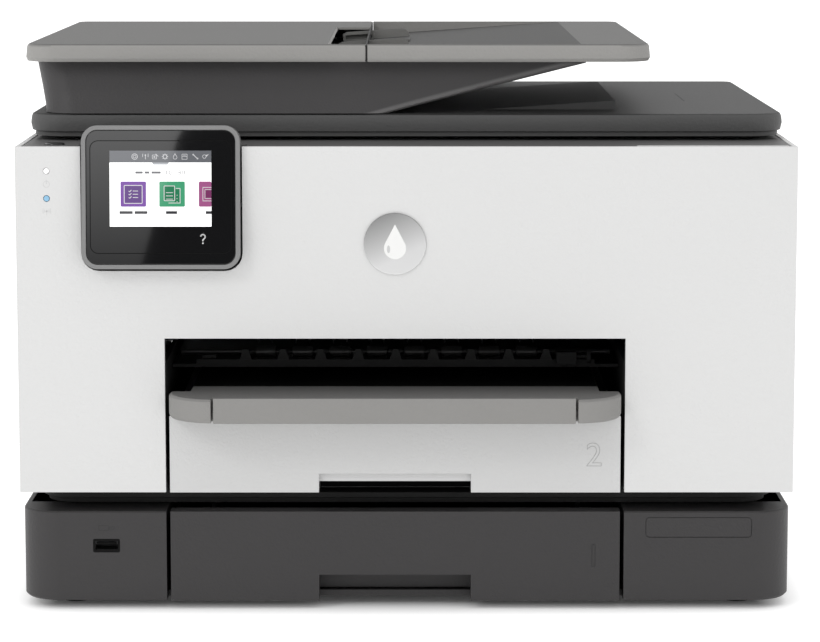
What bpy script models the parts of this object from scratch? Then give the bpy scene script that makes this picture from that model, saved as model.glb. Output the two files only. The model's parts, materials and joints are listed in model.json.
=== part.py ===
"""All-in-one inkjet printer: two paper trays, print engine, flatbed scanner and sheet feeder.

Sizes below are millimetres and become metres when a mesh is made.
X runs to the right as seen from the front, -Y is towards the user, +Z is up.
"""
import math

import bmesh
import bpy
from mathutils import Matrix, Vector

MM = 0.001

# ---------------------------------------------------------------- driving sizes
WIDTH = 437.0            # over the side covers
BODY_DEPTH = 356.0       # front face to rear cover
FRONT = -170.0           # plane of the white front
FOOT_HEIGHT = 5.0
BASE_HEIGHT = 51.5       # housing of the lower tray
NECK_HEIGHT = 10.9       # recessed waist between base and body
BODY_HEIGHT = 196.0      # white body
OPENING_WIDTH = 259.2    # mouth shared by both trays
OPENING_CENTRE = -6.4
OPENING_HEIGHT = 88.0    # above the bottom of the white body
TRAY_GAP = 2.35          # each side of a tray front
UPPER_TRAY_FRONT = 43.8  # height of the upper tray's front
OUTPUT_BAR_HEIGHT = 13.5
OUTPUT_REACH = 28.0      # output tray in front of the white front
PANEL_WIDTH = 88.3
PANEL_HEIGHT = 80.0
PANEL_RADIUS = 9.0
PANEL_INSET = 37.5       # from the left side of the body
PANEL_LEAN = 4.3         # degrees, bottom edge further out
LID_SETBACK = 45.5       # lid front behind the white front
LID_HEIGHT = 9.9
FEEDER_HEIGHT = 29.7     # dark body between lid and the pale shell
SHELL_HEIGHT = 10.0      # pale feeder shell
FEEDER_RIGHT = 140.0     # right end of the input tray
FEEDER_SEAM = -22.8      # between feeder cover and input tray
GLASS_LENGTH = 360.0
GLASS_WIDTH = 220.0
CARTRIDGE_WIDTH = 23.5
CARTRIDGE_DEPTH = 80.0
CARTRIDGE_HEIGHT = 56.0

# ---------------------------------------------------------------- clearances
GAP = 0.3                # between pieces that touch
RUN = 0.6                # between pieces that slide past each other
WALL = 3.0               # moulded cover thickness
THIN = 2.5               # inner moulding thickness

# ---------------------------------------------------------------- derived planes
LEFT = -WIDTH / 2
RIGHT = WIDTH / 2
REAR = FRONT + BODY_DEPTH
BASE_Z = FOOT_HEIGHT
BASE_TOP = BASE_Z + BASE_HEIGHT
BODY_Z = BASE_TOP + NECK_HEIGHT
BODY_TOP = BODY_Z + BODY_HEIGHT
OPEN_L = OPENING_CENTRE - OPENING_WIDTH / 2
OPEN_R = OPENING_CENTRE + OPENING_WIDTH / 2
OPEN_TOP = BODY_Z + OPENING_HEIGHT
TRAY_L = OPEN_L + TRAY_GAP
TRAY_R = OPEN_R - TRAY_GAP
NECK_TOP = BODY_Z - 0.4
DECK_TOP = BODY_TOP - 0.3
DECK_Z = DECK_TOP - THIN - 0.5
TUB_Z = DECK_TOP - 34.0
RING_Z = DECK_TOP + 2.4
LID_Z = RING_Z + 2.9
LID_TOP = LID_Z + LID_HEIGHT
LID_FRONT = FRONT + LID_SETBACK
LID_REAR = REAR - 4.0
SHELL_Z = LID_TOP + FEEDER_HEIGHT
SHELL_TOP = SHELL_Z + SHELL_HEIGHT

SEG = 10                 # segments in a rounded plan corner
SMALL = 1.5              # corners up to this radius are single chamfers


# ---------------------------------------------------------------- shapes
def box(x0, x1, y0, y1, z0, z1):
    points = [(x, y, z) for x in (x0, x1) for y in (y0, y1) for z in (z0, z1)]
    faces = [(0, 1, 3, 2), (4, 6, 7, 5), (0, 4, 5, 1), (2, 3, 7, 6), (0, 2, 6, 4), (1, 5, 7, 3)]
    return points, faces


def prism(profile, low, high, axis):
    """Extrudes a closed outline along one axis. The outline lists the other two axes in X, Y, Z order."""
    def place(pair, along):
        values = list(pair)
        values.insert(axis, along)
        return tuple(values)

    count = len(profile)
    points = [place(pair, low) for pair in profile] + [place(pair, high) for pair in profile]
    faces = [tuple(range(count)), tuple(range(2 * count - 1, count - 1, -1))]
    for i in range(count):
        j = (i + 1) % count
        faces.append((i, i + count, j + count, j))
    return points, faces


def plan(x0, x1, y0, y1, radii, segments=SEG):
    """Rounded rectangle, anticlockwise. Radii run front left, front right, rear right, rear left."""
    corners = ((x0, y0, 1, 1, 180), (x1, y0, -1, 1, 270), (x1, y1, -1, -1, 0), (x0, y1, 1, -1, 90))
    outline = []
    for (x, y, sx, sy, start), radius in zip(corners, radii):
        steps = segments if radius > SMALL else 1
        for k in range(steps + 1):
            turn = math.radians(start + 90.0 * k / steps)
            outline.append((x + sx * radius + radius * math.cos(turn), y + sy * radius + radius * math.sin(turn)))
    return outline


def stack(levels, segments=SEG):
    """Skins rounded rectangles one above another: (z, x0, x1, y0, y1, radii)."""
    loops = [[(x, y, z) for x, y in plan(x0, x1, y0, y1, radii, segments)] for z, x0, x1, y0, y1, radii in levels]
    count = len(loops[0])
    points = [point for loop in loops for point in loop]
    faces = [tuple(range(count - 1, -1, -1)), tuple(range(len(points) - count, len(points)))]
    for level in range(len(loops) - 1):
        a = level * count
        for i in range(count):
            j = (i + 1) % count
            faces.append((a + i, a + j, a + j + count, a + i + count))
    return points, faces


def turned(outline, centre, axis, sides=24):
    """Lathe shape about one axis through centre: outline lists (position along the axis, radius) pairs."""
    u, v = [k for k in range(3) if k != axis]
    points = []
    for along, radius in outline:
        for k in range(sides):
            turn = 2 * math.pi * k / sides
            point = [0.0, 0.0, 0.0]
            point[axis] = along
            point[u] = centre[u] + radius * math.cos(turn)
            point[v] = centre[v] + radius * math.sin(turn)
            points.append(tuple(point))
    last = len(points) - sides
    faces = [tuple(range(sides - 1, -1, -1)), tuple(range(last, last + sides))]
    for ring in range(len(outline) - 1):
        a = ring * sides
        for k in range(sides):
            j = (k + 1) % sides
            faces.append((a + k, a + j, a + j + sides, a + k + sides))
    return points, faces


def moved(shape, matrix):
    return [tuple(matrix @ Vector(point)) for point in shape[0]], shape[1]


# ---------------------------------------------------------------- objects
def make(name, shape, origin=(0, 0, 0)):
    mesh = bpy.data.meshes.new(name)
    mesh.from_pydata([tuple((point[k] - origin[k]) * MM for k in range(3)) for point in shape[0]], [], shape[1])
    work = bmesh.new()
    work.from_mesh(mesh)
    bmesh.ops.recalc_face_normals(work, faces=work.faces)
    work.to_mesh(mesh)
    work.free()
    thing = bpy.data.objects.new(name, mesh)
    thing.location = tuple(value * MM for value in origin)
    bpy.context.scene.collection.objects.link(thing)
    return thing


def paint(thing, colour, roughness, metallic=0.0, alpha=1.0):
    material = bpy.data.materials.new(thing.name)
    material.use_nodes = True
    shader = material.node_tree.nodes["Principled BSDF"]
    shader.inputs["Base Color"].default_value = (*colour, 1.0)
    shader.inputs["Roughness"].default_value = roughness
    shader.inputs["Metallic"].default_value = metallic
    shader.inputs["Alpha"].default_value = alpha
    thing.data.materials.append(material)


def piece(name, look, shape, add=(), cut=(), origin=(0, 0, 0), smooth=False):
    """One named solid: a shape with others joined to it and others cut from it."""
    thing = make(name, shape, origin)
    for label, shapes, operation in (("join", add, "UNION"), ("cut", cut, "DIFFERENCE")):
        for k, other in enumerate(shapes):
            tool = make(f"{name}_{label}{k}", other)
            tool.hide_render = True
            tool.display_type = "WIRE"
            step = thing.modifiers.new(f"{label}{k}", "BOOLEAN")
            step.operation = operation
            step.solver = "EXACT"
            step.object = tool
    if smooth:
        thing.data.shade_smooth()
    paint(thing, *look)
    return thing


WHITE = ((0.76, 0.76, 0.76), 0.45)
DARK = ((0.064, 0.062, 0.063), 0.5)
BLACK = ((0.012, 0.012, 0.012), 0.5)
LIDGREY = ((0.09, 0.09, 0.09), 0.5)
PALE = ((0.31, 0.305, 0.295), 0.5)
STEEL = ((0.6, 0.6, 0.6), 0.3, 1.0)
RUBBER = ((0.02, 0.02, 0.02), 0.85)
GLASS = ((0.75, 0.85, 0.82), 0.05, 0.0, 0.35)

for old in list(bpy.data.objects):
    bpy.data.objects.remove(old, do_unlink=True)

# ---------------------------------------------------------------- base housing and feet
SLOT_FLOOR = BASE_Z + 3.5
TRAY_FRONT_DEPTH = 12.0
SLOT_REAR = REAR - 32.0
BLOCK = 30.0             # solid front of each side block
USB_X = OPEN_L - 34.0
USB_Z = BASE_Z + 31.85
USB_W, USB_H, USB_D = 13.6, 6.1, 16.0
base_levels = [
    (BASE_Z, LEFT + 1.5, RIGHT - 1.5, FRONT + 1.5, REAR - 1.5, (20.5, 20.5, 10.5, 10.5)),
    (BASE_Z + 1.5, LEFT, RIGHT, FRONT, REAR, (22, 22, 12, 12)),
    (BASE_TOP - 0.8, LEFT, RIGHT, FRONT, REAR, (22, 22, 12, 12)),
    (BASE_TOP, LEFT + 0.8, RIGHT - 0.8, FRONT + 0.8, REAR - 0.8, (21.2, 21.2, 11.2, 11.2)),
]
piece(
    "base_housing", DARK, stack(base_levels),
    cut=[
        box(OPEN_L, OPEN_R, FRONT - 5, SLOT_REAR, SLOT_FLOOR, BASE_TOP + 5),
        box(OPEN_L, OPEN_R, FRONT - 5, FRONT + TRAY_FRONT_DEPTH + 1.0, BASE_Z - 5, SLOT_FLOOR + 1),
        box(LEFT + WALL, OPEN_L - 3.7, FRONT + BLOCK, REAR - WALL, BASE_Z + WALL, BASE_TOP + 5),
        box(OPEN_R + 3.7, RIGHT - WALL, FRONT + BLOCK, REAR - WALL, BASE_Z + WALL, BASE_TOP + 5),
        box(USB_X - USB_W / 2 - GAP, USB_X + USB_W / 2 + GAP, FRONT - 1, FRONT + USB_D + 1,
            USB_Z - USB_H / 2 - GAP, USB_Z + USB_H / 2 + GAP),
        prism([(x, z) for x, z in plan(OPEN_R + 12.2, RIGHT - 22.8, BASE_Z + 36.5, BASE_Z + 48.2, (2, 2, 2, 2), 2)],
              FRONT - 1, FRONT + 0.6, 1),
    ],
)
piece(
    "usb_socket", STEEL,
    box(USB_X - USB_W / 2, USB_X + USB_W / 2, FRONT + 0.8, FRONT + USB_D, USB_Z - USB_H / 2, USB_Z + USB_H / 2),
    cut=[
        box(USB_X - USB_W / 2 + 0.5, USB_X + USB_W / 2 - 0.5, FRONT, FRONT + 12, USB_Z - USB_H / 2 + 0.5, USB_Z + 0.4),
        box(USB_X - USB_W / 2 + 0.5, USB_X + USB_W / 2 - 0.5, FRONT, FRONT + 2.4, USB_Z, USB_Z + USB_H / 2 - 0.5),
    ],
)
FOOT_R = 9.0
for side, x in (("left", LEFT + 28.5), ("right", RIGHT - 28.5)):
    for end, y in (("front", FRONT + 28.0), ("rear", REAR - 28.0)):
        piece(f"foot_{end}_{side}", RUBBER,
              turned([(0, FOOT_R - 1), (1, FOOT_R), (BASE_Z - GAP, FOOT_R)], (x, y, 0), 2), smooth=False)

# ---------------------------------------------------------------- engine base with the recessed neck
NECK_IN = 8.6
ENGINE_WALL_TOP = BODY_Z + 72.6
piece(
    "engine_base", BLACK,
    stack([
        (BASE_TOP + GAP, LEFT + NECK_IN + 3, RIGHT - NECK_IN - 3, FRONT + 26, REAR - 5, (18, 18, 8, 8)),
        (BASE_TOP + 3.0, LEFT + NECK_IN + 3, RIGHT - NECK_IN - 3, FRONT + 26, REAR - 5, (18, 18, 8, 8)),
        (BASE_TOP + 3.6, LEFT + NECK_IN, RIGHT - NECK_IN, FRONT + 23, REAR - 3, (20, 20, 9, 9)),
        (NECK_TOP, LEFT + NECK_IN, RIGHT - NECK_IN, FRONT + 23, REAR - 3, (20, 20, 9, 9)),
    ]),
    add=[
        box(OPEN_L - 3, OPEN_L, FRONT + 14, REAR - 33, NECK_TOP - 2, ENGINE_WALL_TOP),
        box(OPEN_R, OPEN_R + 3, FRONT + 14, REAR - 33, NECK_TOP - 2, ENGINE_WALL_TOP),
        box(OPEN_L - 3, OPEN_R + 3, REAR - 36, REAR - 33, NECK_TOP - 2, ENGINE_WALL_TOP - 40),
    ],
)

# ---------------------------------------------------------------- white side covers and rear cover
for side, outer, inward in (("left", LEFT, 1), ("right", RIGHT, -1)):
    piece(
        f"side_cover_{side}", WHITE,
        box(*sorted((outer, outer + inward * WALL)), FRONT + 4.0, REAR - WALL - GAP, BODY_Z, BODY_TOP),
        add=[box(*sorted((outer + inward * 1.0, outer + inward * 14)), FRONT + 12.0, REAR - WALL - GAP - 4, BODY_Z, BODY_Z + 2)],
    )
REAR_DOOR_L = OPEN_L + 21.0
REAR_DOOR_R = OPEN_R - 20.2
REAR_DOOR_Z0 = BODY_Z + 12.6
REAR_DOOR_Z1 = BODY_Z + 112.6
INLET_X = LEFT + 48.0
INLET_Z = BODY_Z + 28.0
NETWORK_X = RIGHT - 46.0
NETWORK_Z = BODY_Z + 40.0
vents = [
    box(x, x + 3.0, REAR - WALL - 1, REAR + 1, BODY_TOP - 48, BODY_TOP - 20)
    for x in [LEFT + 40 + 8.0 * k for k in range(8)]
]
piece(
    "rear_cover", WHITE,
    box(LEFT, RIGHT, REAR - WALL, REAR, BODY_Z, BODY_TOP),
    cut=[
        box(REAR_DOOR_L + 5, REAR_DOOR_R - 5, REAR - WALL - 1, REAR + 1, REAR_DOOR_Z0 + 4, REAR_DOOR_Z1 - 4),
        box(INLET_X - 12 - GAP, INLET_X + 12 + GAP, REAR - WALL - 1, REAR + 1, INLET_Z - 8 - GAP, INLET_Z + 8 + GAP),
        box(NETWORK_X - 9 - GAP, NETWORK_X + 9 + GAP, REAR - WALL - 1, REAR + 1, NETWORK_Z - 8 - GAP, NETWORK_Z + 8 + GAP),
    ] + vents,
)
piece(
    "power_inlet", BLACK,
    box(INLET_X - 12, INLET_X + 12, REAR - 22, REAR, INLET_Z - 8, INLET_Z + 8),
    cut=[prism([(x, z) for x, z in plan(INLET_X - 9, INLET_X + 9, INLET_Z - 4.6, INLET_Z + 4.6, (4, 4, 4, 4), 3)],
               REAR - 14, REAR + 1, 1)],
    add=[],
)
piece(
    "network_socket", STEEL,
    box(NETWORK_X - 9, NETWORK_X + 9, REAR - 20, REAR, NETWORK_Z - 8, NETWORK_Z + 8),
    cut=[
        box(NETWORK_X - 6, NETWORK_X + 6, REAR - 14, REAR + 1, NETWORK_Z - 3.5, NETWORK_Z + 5.5),
        box(NETWORK_X - 3, NETWORK_X + 3, REAR - 14, REAR + 1, NETWORK_Z - 6, NETWORK_Z - 3),
    ],
)
DOOR_RIBS = [
    box(x, x + 2, REAR - 8, REAR + 2, REAR_DOOR_Z0 + 16, REAR_DOOR_Z1 - 16)
    for x in [REAR_DOOR_L + 18 + (REAR_DOOR_R - REAR_DOOR_L - 38) * k / 6 for k in range(7)]
]
REAR_HINGE = (0, REAR + 1.0, REAR_DOOR_Z0)
piece(
    "rear_door", DARK,
    prism([
        (REAR + GAP, REAR_DOOR_Z0), (REAR + 9, REAR_DOOR_Z0), (REAR + 12, REAR_DOOR_Z0 + 5),
        (REAR + 12, REAR_DOOR_Z1 - 12), (REAR + 6, REAR_DOOR_Z1), (REAR + GAP, REAR_DOOR_Z1),
    ], REAR_DOOR_L, REAR_DOOR_R, 0),
    add=DOOR_RIBS,
    cut=[box((REAR_DOOR_L + REAR_DOOR_R) / 2 - 22, (REAR_DOOR_L + REAR_DOOR_R) / 2 + 22,
             REAR + 9, REAR + 14, REAR_DOOR_Z1 - 40, REAR_DOOR_Z1 - 28)],
    origin=REAR_HINGE,
)

# ---------------------------------------------------------------- front frame of the print engine
FRAME_Y0 = FRONT + 7.0
FRAME_Y1 = FRONT + 11.0
FRAME_TOP = TUB_Z - 0.5
PANEL_L = LEFT + PANEL_INSET
PANEL_R = PANEL_L + PANEL_WIDTH
PANEL_Z0 = BODY_TOP + 12.2 - PANEL_HEIGHT
piece(
    "engine_frame", BLACK,
    box(LEFT + WALL + GAP, RIGHT - WALL - GAP, FRAME_Y0, FRAME_Y1, BODY_Z + 2.6, FRAME_TOP),
    cut=[
        box(OPEN_L, OPEN_R, FRAME_Y0 - 1, FRAME_Y1 + 1, BODY_Z, OPEN_TOP + 1.0),
        box(PANEL_R + 8, RIGHT - 14, FRAME_Y0 - 1, FRAME_Y1 + 1, OPEN_TOP + 6, FRAME_TOP - 6),
    ],
)

# ---------------------------------------------------------------- scanner
TUB_FRONT = FRONT + 30.0
GLASS_R = RIGHT - 26.5
GLASS_L = GLASS_R - GLASS_LENGTH * WIDTH / 437.0
GLASS_Y0 = LID_FRONT + 29.5
GLASS_Y1 = GLASS_Y0 + min(GLASS_WIDTH, LID_REAR - 20 - GLASS_Y0)
STRIP_L = LEFT + 15.5
STRIP_R = GLASS_L - 12.0
BUTTON = (LEFT + 20.5, FRONT + 20.0)
BUTTON_R = 5.6
piece(
    "scanner_tub", BLACK,
    box(LEFT + WALL + 2, RIGHT - WALL - 2, TUB_FRONT, REAR - WALL - 1, TUB_Z, DECK_Z - GAP),
    cut=[box(LEFT + WALL + 2 + THIN, RIGHT - WALL - 2 - THIN, TUB_FRONT + THIN, REAR - WALL - 1 - THIN,
             TUB_Z + THIN, DECK_Z + 5)],
)
piece(
    "scanner_deck", DARK,
    box(LEFT + WALL + GAP, RIGHT - WALL - GAP, FRONT + WALL + GAP, REAR - WALL - GAP, DECK_Z, DECK_TOP),
    add=[
        box(LEFT + WALL + GAP, PANEL_L - 3, FRAME_Y0, FRAME_Y0 + 3, TUB_Z, DECK_Z + 1),
        box(PANEL_R + 3, RIGHT - WALL - GAP, FRAME_Y0, FRAME_Y0 + 3, TUB_Z, DECK_Z + 1),
    ],
    cut=[
        box(GLASS_L - GAP, GLASS_R + GAP, GLASS_Y0 - GAP, GLASS_Y1 + GAP, DECK_Z - 1, DECK_TOP + 1),
        box(STRIP_L - GAP, STRIP_R + GAP, GLASS_Y0 - GAP, GLASS_Y1 + GAP, DECK_Z - 1, DECK_TOP + 1),
        box(PANEL_L - 3, PANEL_R + 3, FRONT, FRONT + 23, DECK_Z - 1, DECK_TOP + 1),
        turned([(DECK_Z - 1, BUTTON_R + 0.4), (DECK_TOP + 1, BUTTON_R + 0.4)], (*BUTTON, 0), 2, 20),
    ],
)
piece("scanner_glass", GLASS, box(GLASS_L, GLASS_R, GLASS_Y0, GLASS_Y1, DECK_Z + 0.2, DECK_TOP - 0.3))
piece("feeder_glass", GLASS, box(STRIP_L, STRIP_R, GLASS_Y0, GLASS_Y1, DECK_Z + 0.2, DECK_TOP - 0.3))
SCAN_X = (STRIP_L + STRIP_R) / 2
piece(
    "scan_carriage", BLACK,
    box(SCAN_X - 12, SCAN_X + 12, GLASS_Y0 - 5, GLASS_Y1 + 5, TUB_Z + 8, TUB_Z + 25),
    add=[box(SCAN_X - 5, SCAN_X + 5, GLASS_Y0 - 14, GLASS_Y1 + 14, TUB_Z + 10, TUB_Z + 16)],
    cut=[box(SCAN_X - 4, SCAN_X + 4, GLASS_Y0, GLASS_Y1, TUB_Z + 22, TUB_Z + 30)],
    origin=(SCAN_X, (GLASS_Y0 + GLASS_Y1) / 2, TUB_Z + 10),
)
piece("power_button", ((0.2, 0.2, 0.2), 0.15),
      turned([(DECK_Z - 3, BUTTON_R - 1), (DECK_TOP + 0.3, BUTTON_R), (DECK_TOP + 0.9, BUTTON_R - 0.6)], (*BUTTON, 0), 2, 20),
      origin=(*BUTTON, DECK_TOP), smooth=True)

# ---------------------------------------------------------------- front door
DOOR_HINGE = (0, FRONT + WALL / 2, BODY_Z + 0.2 + WALL / 2)
NOTCH = 1.0
LIGHT_X = LEFT + 17.5
LIGHTS = (("light_power", BODY_TOP - 13.6), ("light_wireless", BODY_TOP - 29.0))
LIGHT_R = 1.6
BADGE_Z = BODY_Z + 141.6
piece(
    "front_door", WHITE,
    box(LEFT, RIGHT, FRONT, FRONT + WALL, BODY_Z + 0.2, BODY_TOP),
    add=[
        box(LEFT + 6, LEFT + 8, FRONT + WALL - 1, FRONT + 6.4, BODY_Z + 12, BODY_TOP - 8),
        box(RIGHT - 8, RIGHT - 6, FRONT + WALL - 1, FRONT + 6.4, BODY_Z + 12, BODY_TOP - 8),
        box(PANEL_R + 5, RIGHT - 10, FRONT + WALL - 1, FRONT + 6.4, BODY_TOP - 36, BODY_TOP - 34),
        box(LEFT + 10, RIGHT - 10, FRONT + WALL - 1, FRONT + 6.4, OPEN_TOP + 3, OPEN_TOP + 5),
    ],
    cut=[
        box(OPEN_L, OPEN_R, FRONT - 1, FRONT + 9, BODY_Z - 5, OPEN_TOP),
        prism([(x, z) for x, z in plan(PANEL_L - NOTCH, PANEL_R + NOTCH, PANEL_Z0 - 2 * NOTCH, BODY_TOP + 40,
                                       (PANEL_RADIUS + 1,) * 4, 5)], FRONT - 1, FRONT + 9, 1),
    ] + [
        turned([(FRONT - 1, LIGHT_R + GAP), (FRONT + 9, LIGHT_R + GAP)], (LIGHT_X, 0, z), 1, 16) for _, z in LIGHTS
    ],
    origin=DOOR_HINGE,
)
for name, z in LIGHTS:
    piece(name, ((0.8, 0.9, 1.0), 0.2),
          turned([(FRONT - 0.2, LIGHT_R - 0.3), (FRONT, LIGHT_R), (FRONT + WALL, LIGHT_R)], (LIGHT_X, 0, z), 1, 16),
          origin=DOOR_HINGE, smooth=True)
badge_outline = plan(OPENING_CENTRE - 17.4, OPENING_CENTRE + 17.4, BADGE_Z - 17.4, BADGE_Z + 17.4, (17.4,) * 4, 9)
piece("badge", ((0.7, 0.7, 0.7), 0.25, 1.0), prism(badge_outline, FRONT - 1.1, FRONT - GAP, 1), origin=DOOR_HINGE)

# ---------------------------------------------------------------- control panel
PANEL_DEPTH = 13.0
lean = Matrix.Translation(((PANEL_L + PANEL_R) / 2, FRONT - 6.0, PANEL_Z0 + PANEL_HEIGHT / 2)) @ Matrix.Rotation(
    math.radians(-PANEL_LEAN), 4, "X")
panel_hinge = lean @ Vector((0, 8.0, PANEL_HEIGHT / 2 - 5.0))
PANEL_HINGE = (panel_hinge.x, panel_hinge.y, panel_hinge.z)


def panel_block(inset, y0, y1):
    w, h, r = PANEL_WIDTH / 2 - inset, PANEL_HEIGHT / 2 - inset, PANEL_RADIUS - inset
    return moved(prism(plan(-w, w, -h, h, (r, r, r, r)), y0, y1, 1), lean)


piece("panel_frame", ((0.22, 0.22, 0.22), 0.35), panel_block(0, 0, PANEL_DEPTH),
      cut=[panel_block(2.4, -2, 1.9)], origin=PANEL_HINGE)
piece("panel_glass", ((0.01, 0.01, 0.011), 0.08), panel_block(2.7, 0.1, 1.6), origin=PANEL_HINGE)


# ---------------------------------------------------------------- paper trays
def tray(name, look, front_z0, front_z1, floor_z, wall_top, rear, notch_top, lip):
    """Sheet bin with its front: open at the top, with a finger notch under the front."""
    middle = OPENING_CENTRE - 0.1
    origin = (middle, FRONT, floor_z)
    inner_y0 = FRONT + 20.0
    piece(
        name, look,
        box(TRAY_L, TRAY_R, FRONT, FRONT + TRAY_FRONT_DEPTH, front_z0, front_z1),
        add=[box(TRAY_L, TRAY_R, FRONT + TRAY_FRONT_DEPTH - 2, rear, floor_z, wall_top)],
        cut=[
            box(TRAY_L + THIN, TRAY_R - THIN, inner_y0, rear - THIN, floor_z + THIN, wall_top + 30),
            box(middle - 43, middle + 43, FRONT - 1, FRONT + WALL, front_z0 - 1, notch_top),
            box(middle - 43, middle + 43, FRONT - 2, FRONT + 17.5, front_z0 - 5, notch_top - lip),
        ],
        origin=origin,
    )
    guide_look = ((0.15, 0.15, 0.15), 0.5)
    base = floor_z + THIN + RUN
    high = wall_top - 6
    half = min(108.5, (TRAY_R - TRAY_L) / 2 - 12)
    middle_y = (inner_y0 + rear) / 2
    for side, sign in (("left", -1), ("right", 1)):
        face = middle + sign * half
        piece(
            f"{name}_width_guide_{side}", guide_look,
            box(*sorted((face, face + sign * 3)), middle_y - 45, middle_y + 45, base, high),
            add=[box(*sorted((face - sign * 26, face + sign * 1)), middle_y - 12, middle_y + 12, base, base + 1.6)],
            origin=(face, middle_y, base),
        )
    stop_y = inner_y0 + 1.2
    piece(
        f"{name}_length_guide", guide_look,
        box(middle - 26, middle + 26, stop_y, stop_y + 3, base, high),
        add=[box(middle - 10, middle + 10, stop_y + 1, stop_y + 34, base, base + 1.6)],
        origin=(middle, stop_y, base),
    )


tray("lower_tray", DARK, BASE_Z, BASE_TOP, SLOT_FLOOR + RUN, BASE_TOP - 6.5, SLOT_REAR - 2.0, BASE_Z + 15.0, 0.2)
tray("upper_tray", WHITE, BODY_Z + 0.1, BODY_Z + UPPER_TRAY_FRONT, NECK_TOP + RUN, BODY_Z + 38.6, REAR - 38.0,
     BODY_Z + 10.9, 4.8)

# ---------------------------------------------------------------- output tray and its extension
BAR_Z0 = BODY_Z + UPPER_TRAY_FRONT + GAP
BAR_Z1 = BAR_Z0 + OUTPUT_BAR_HEIGHT
BAR_Y = FRONT - OUTPUT_REACH
EXT_L = TRAY_L + 26.3
EXT_R = TRAY_R - 26.7
EXT_REAR = FRONT + 110.0
OUT_REAR = FRONT + 150.0
piece(
    "output_tray", PALE,
    stack([
        (BAR_Z0, TRAY_L + 1.2, TRAY_R - 1.2, BAR_Y + 1.2, FRONT + 4, (26, 26, 1, 1)),
        (BAR_Z0 + 2, TRAY_L, TRAY_R, BAR_Y, FRONT + 4, (27, 27, 1, 1)),
        (BAR_Z1 - 1.5, TRAY_L, TRAY_R, BAR_Y, FRONT + 4, (27, 27, 1, 1)),
        (BAR_Z1, TRAY_L + 1.5, TRAY_R - 1.5, BAR_Y + 1.5, FRONT + 3, (25.5, 25.5, 1, 1)),
    ]),
    add=[
        prism([
            (FRONT - 4, BAR_Z0 + 3), (OUT_REAR, BAR_Z0 + 1.0), (OUT_REAR, BAR_Z1 - 7.5),
            (EXT_REAR + 6, BAR_Z1), (FRONT - 4, BAR_Z1),
        ], TRAY_L + 12, TRAY_R - 12, 0),
    ],
    cut=[
        box(EXT_L - 1.3, EXT_R + 1.3, BAR_Y - 5, BAR_Y + 8.4, BAR_Z0 - 5, BAR_Z1 + 5),
        box(EXT_L - RUN, EXT_R + RUN, BAR_Y + 5, EXT_REAR + RUN, BAR_Z1 - 7.0, BAR_Z1 - 2.6),
    ],
)
piece(
    "output_extension", PALE,
    box(EXT_L, EXT_R, BAR_Y, BAR_Y + 7.8, BAR_Z0 - 0.1, BAR_Z1 + 0.8),
    add=[box(EXT_L, EXT_R, BAR_Y + 6, EXT_REAR, BAR_Z1 - 6.5, BAR_Z1 - 3.1)],
    origin=((EXT_L + EXT_R) / 2, BAR_Y, BAR_Z1),
)

# ---------------------------------------------------------------- print engine
PLATEN_Y0 = FRONT + 58.0
PLATEN_Y1 = FRONT + 200.0
PLATEN_Z = BODY_Z + 63.1
RIB_PITCH = 21.8
rib_x = [OPENING_CENTRE + 0.15 + RIB_PITCH * k for k in range(-4, 5)]
ribs = [
    prism([(x - 4.0, PLATEN_Z + 3), (x + 4.0, PLATEN_Z + 3), (x + 1.4, PLATEN_Z + 10.4), (x - 1.4, PLATEN_Z + 10.4)],
          PLATEN_Y0, PLATEN_Y0 + 4.5, 1)
    for x in rib_x
]
piece(
    "platen", BLACK,
    box(OPEN_L + GAP, OPEN_R - GAP, PLATEN_Y0, PLATEN_Y1, PLATEN_Z, PLATEN_Z + 1.8),
    add=[box(OPEN_L + 14, OPEN_R - 14, PLATEN_Y0 - 0.2, PLATEN_Y0 + 6, PLATEN_Z + 0.2, PLATEN_Z + 4.4)] + ribs,
)
EXIT_AXIS = (0, PLATEN_Y0 + 16.0, PLATEN_Z + 6.8)
FEED_AXIS = (0, PLATEN_Y1 - 14.0, PLATEN_Z + 9.8)
ROLLER_L = OPEN_L + 4.0
ROLLER_R = OPEN_R - 4.0
exit_outline = [(ROLLER_L, 1.6)]
for x in [rib_x[0] + RIB_PITCH * (k + 0.5) for k in range(8)]:
    exit_outline += [(x - 6.01, 1.6), (x - 6.0, 3.3), (x + 6.0, 3.3), (x + 6.01, 1.6)]
exit_outline.append((ROLLER_R, 1.6))
piece("output_roller", RUBBER, turned(exit_outline, EXIT_AXIS, 0, 16), origin=EXIT_AXIS)
piece("feed_roller", STEEL,
      turned([(ROLLER_L, 3.5), (ROLLER_L + 8, 3.5), (ROLLER_L + 8.01, 7.0), (ROLLER_R - 8.01, 7.0),
              (ROLLER_R - 8, 3.5), (ROLLER_R, 3.5)], FEED_AXIS, 0, 20), origin=FEED_AXIS)

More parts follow.
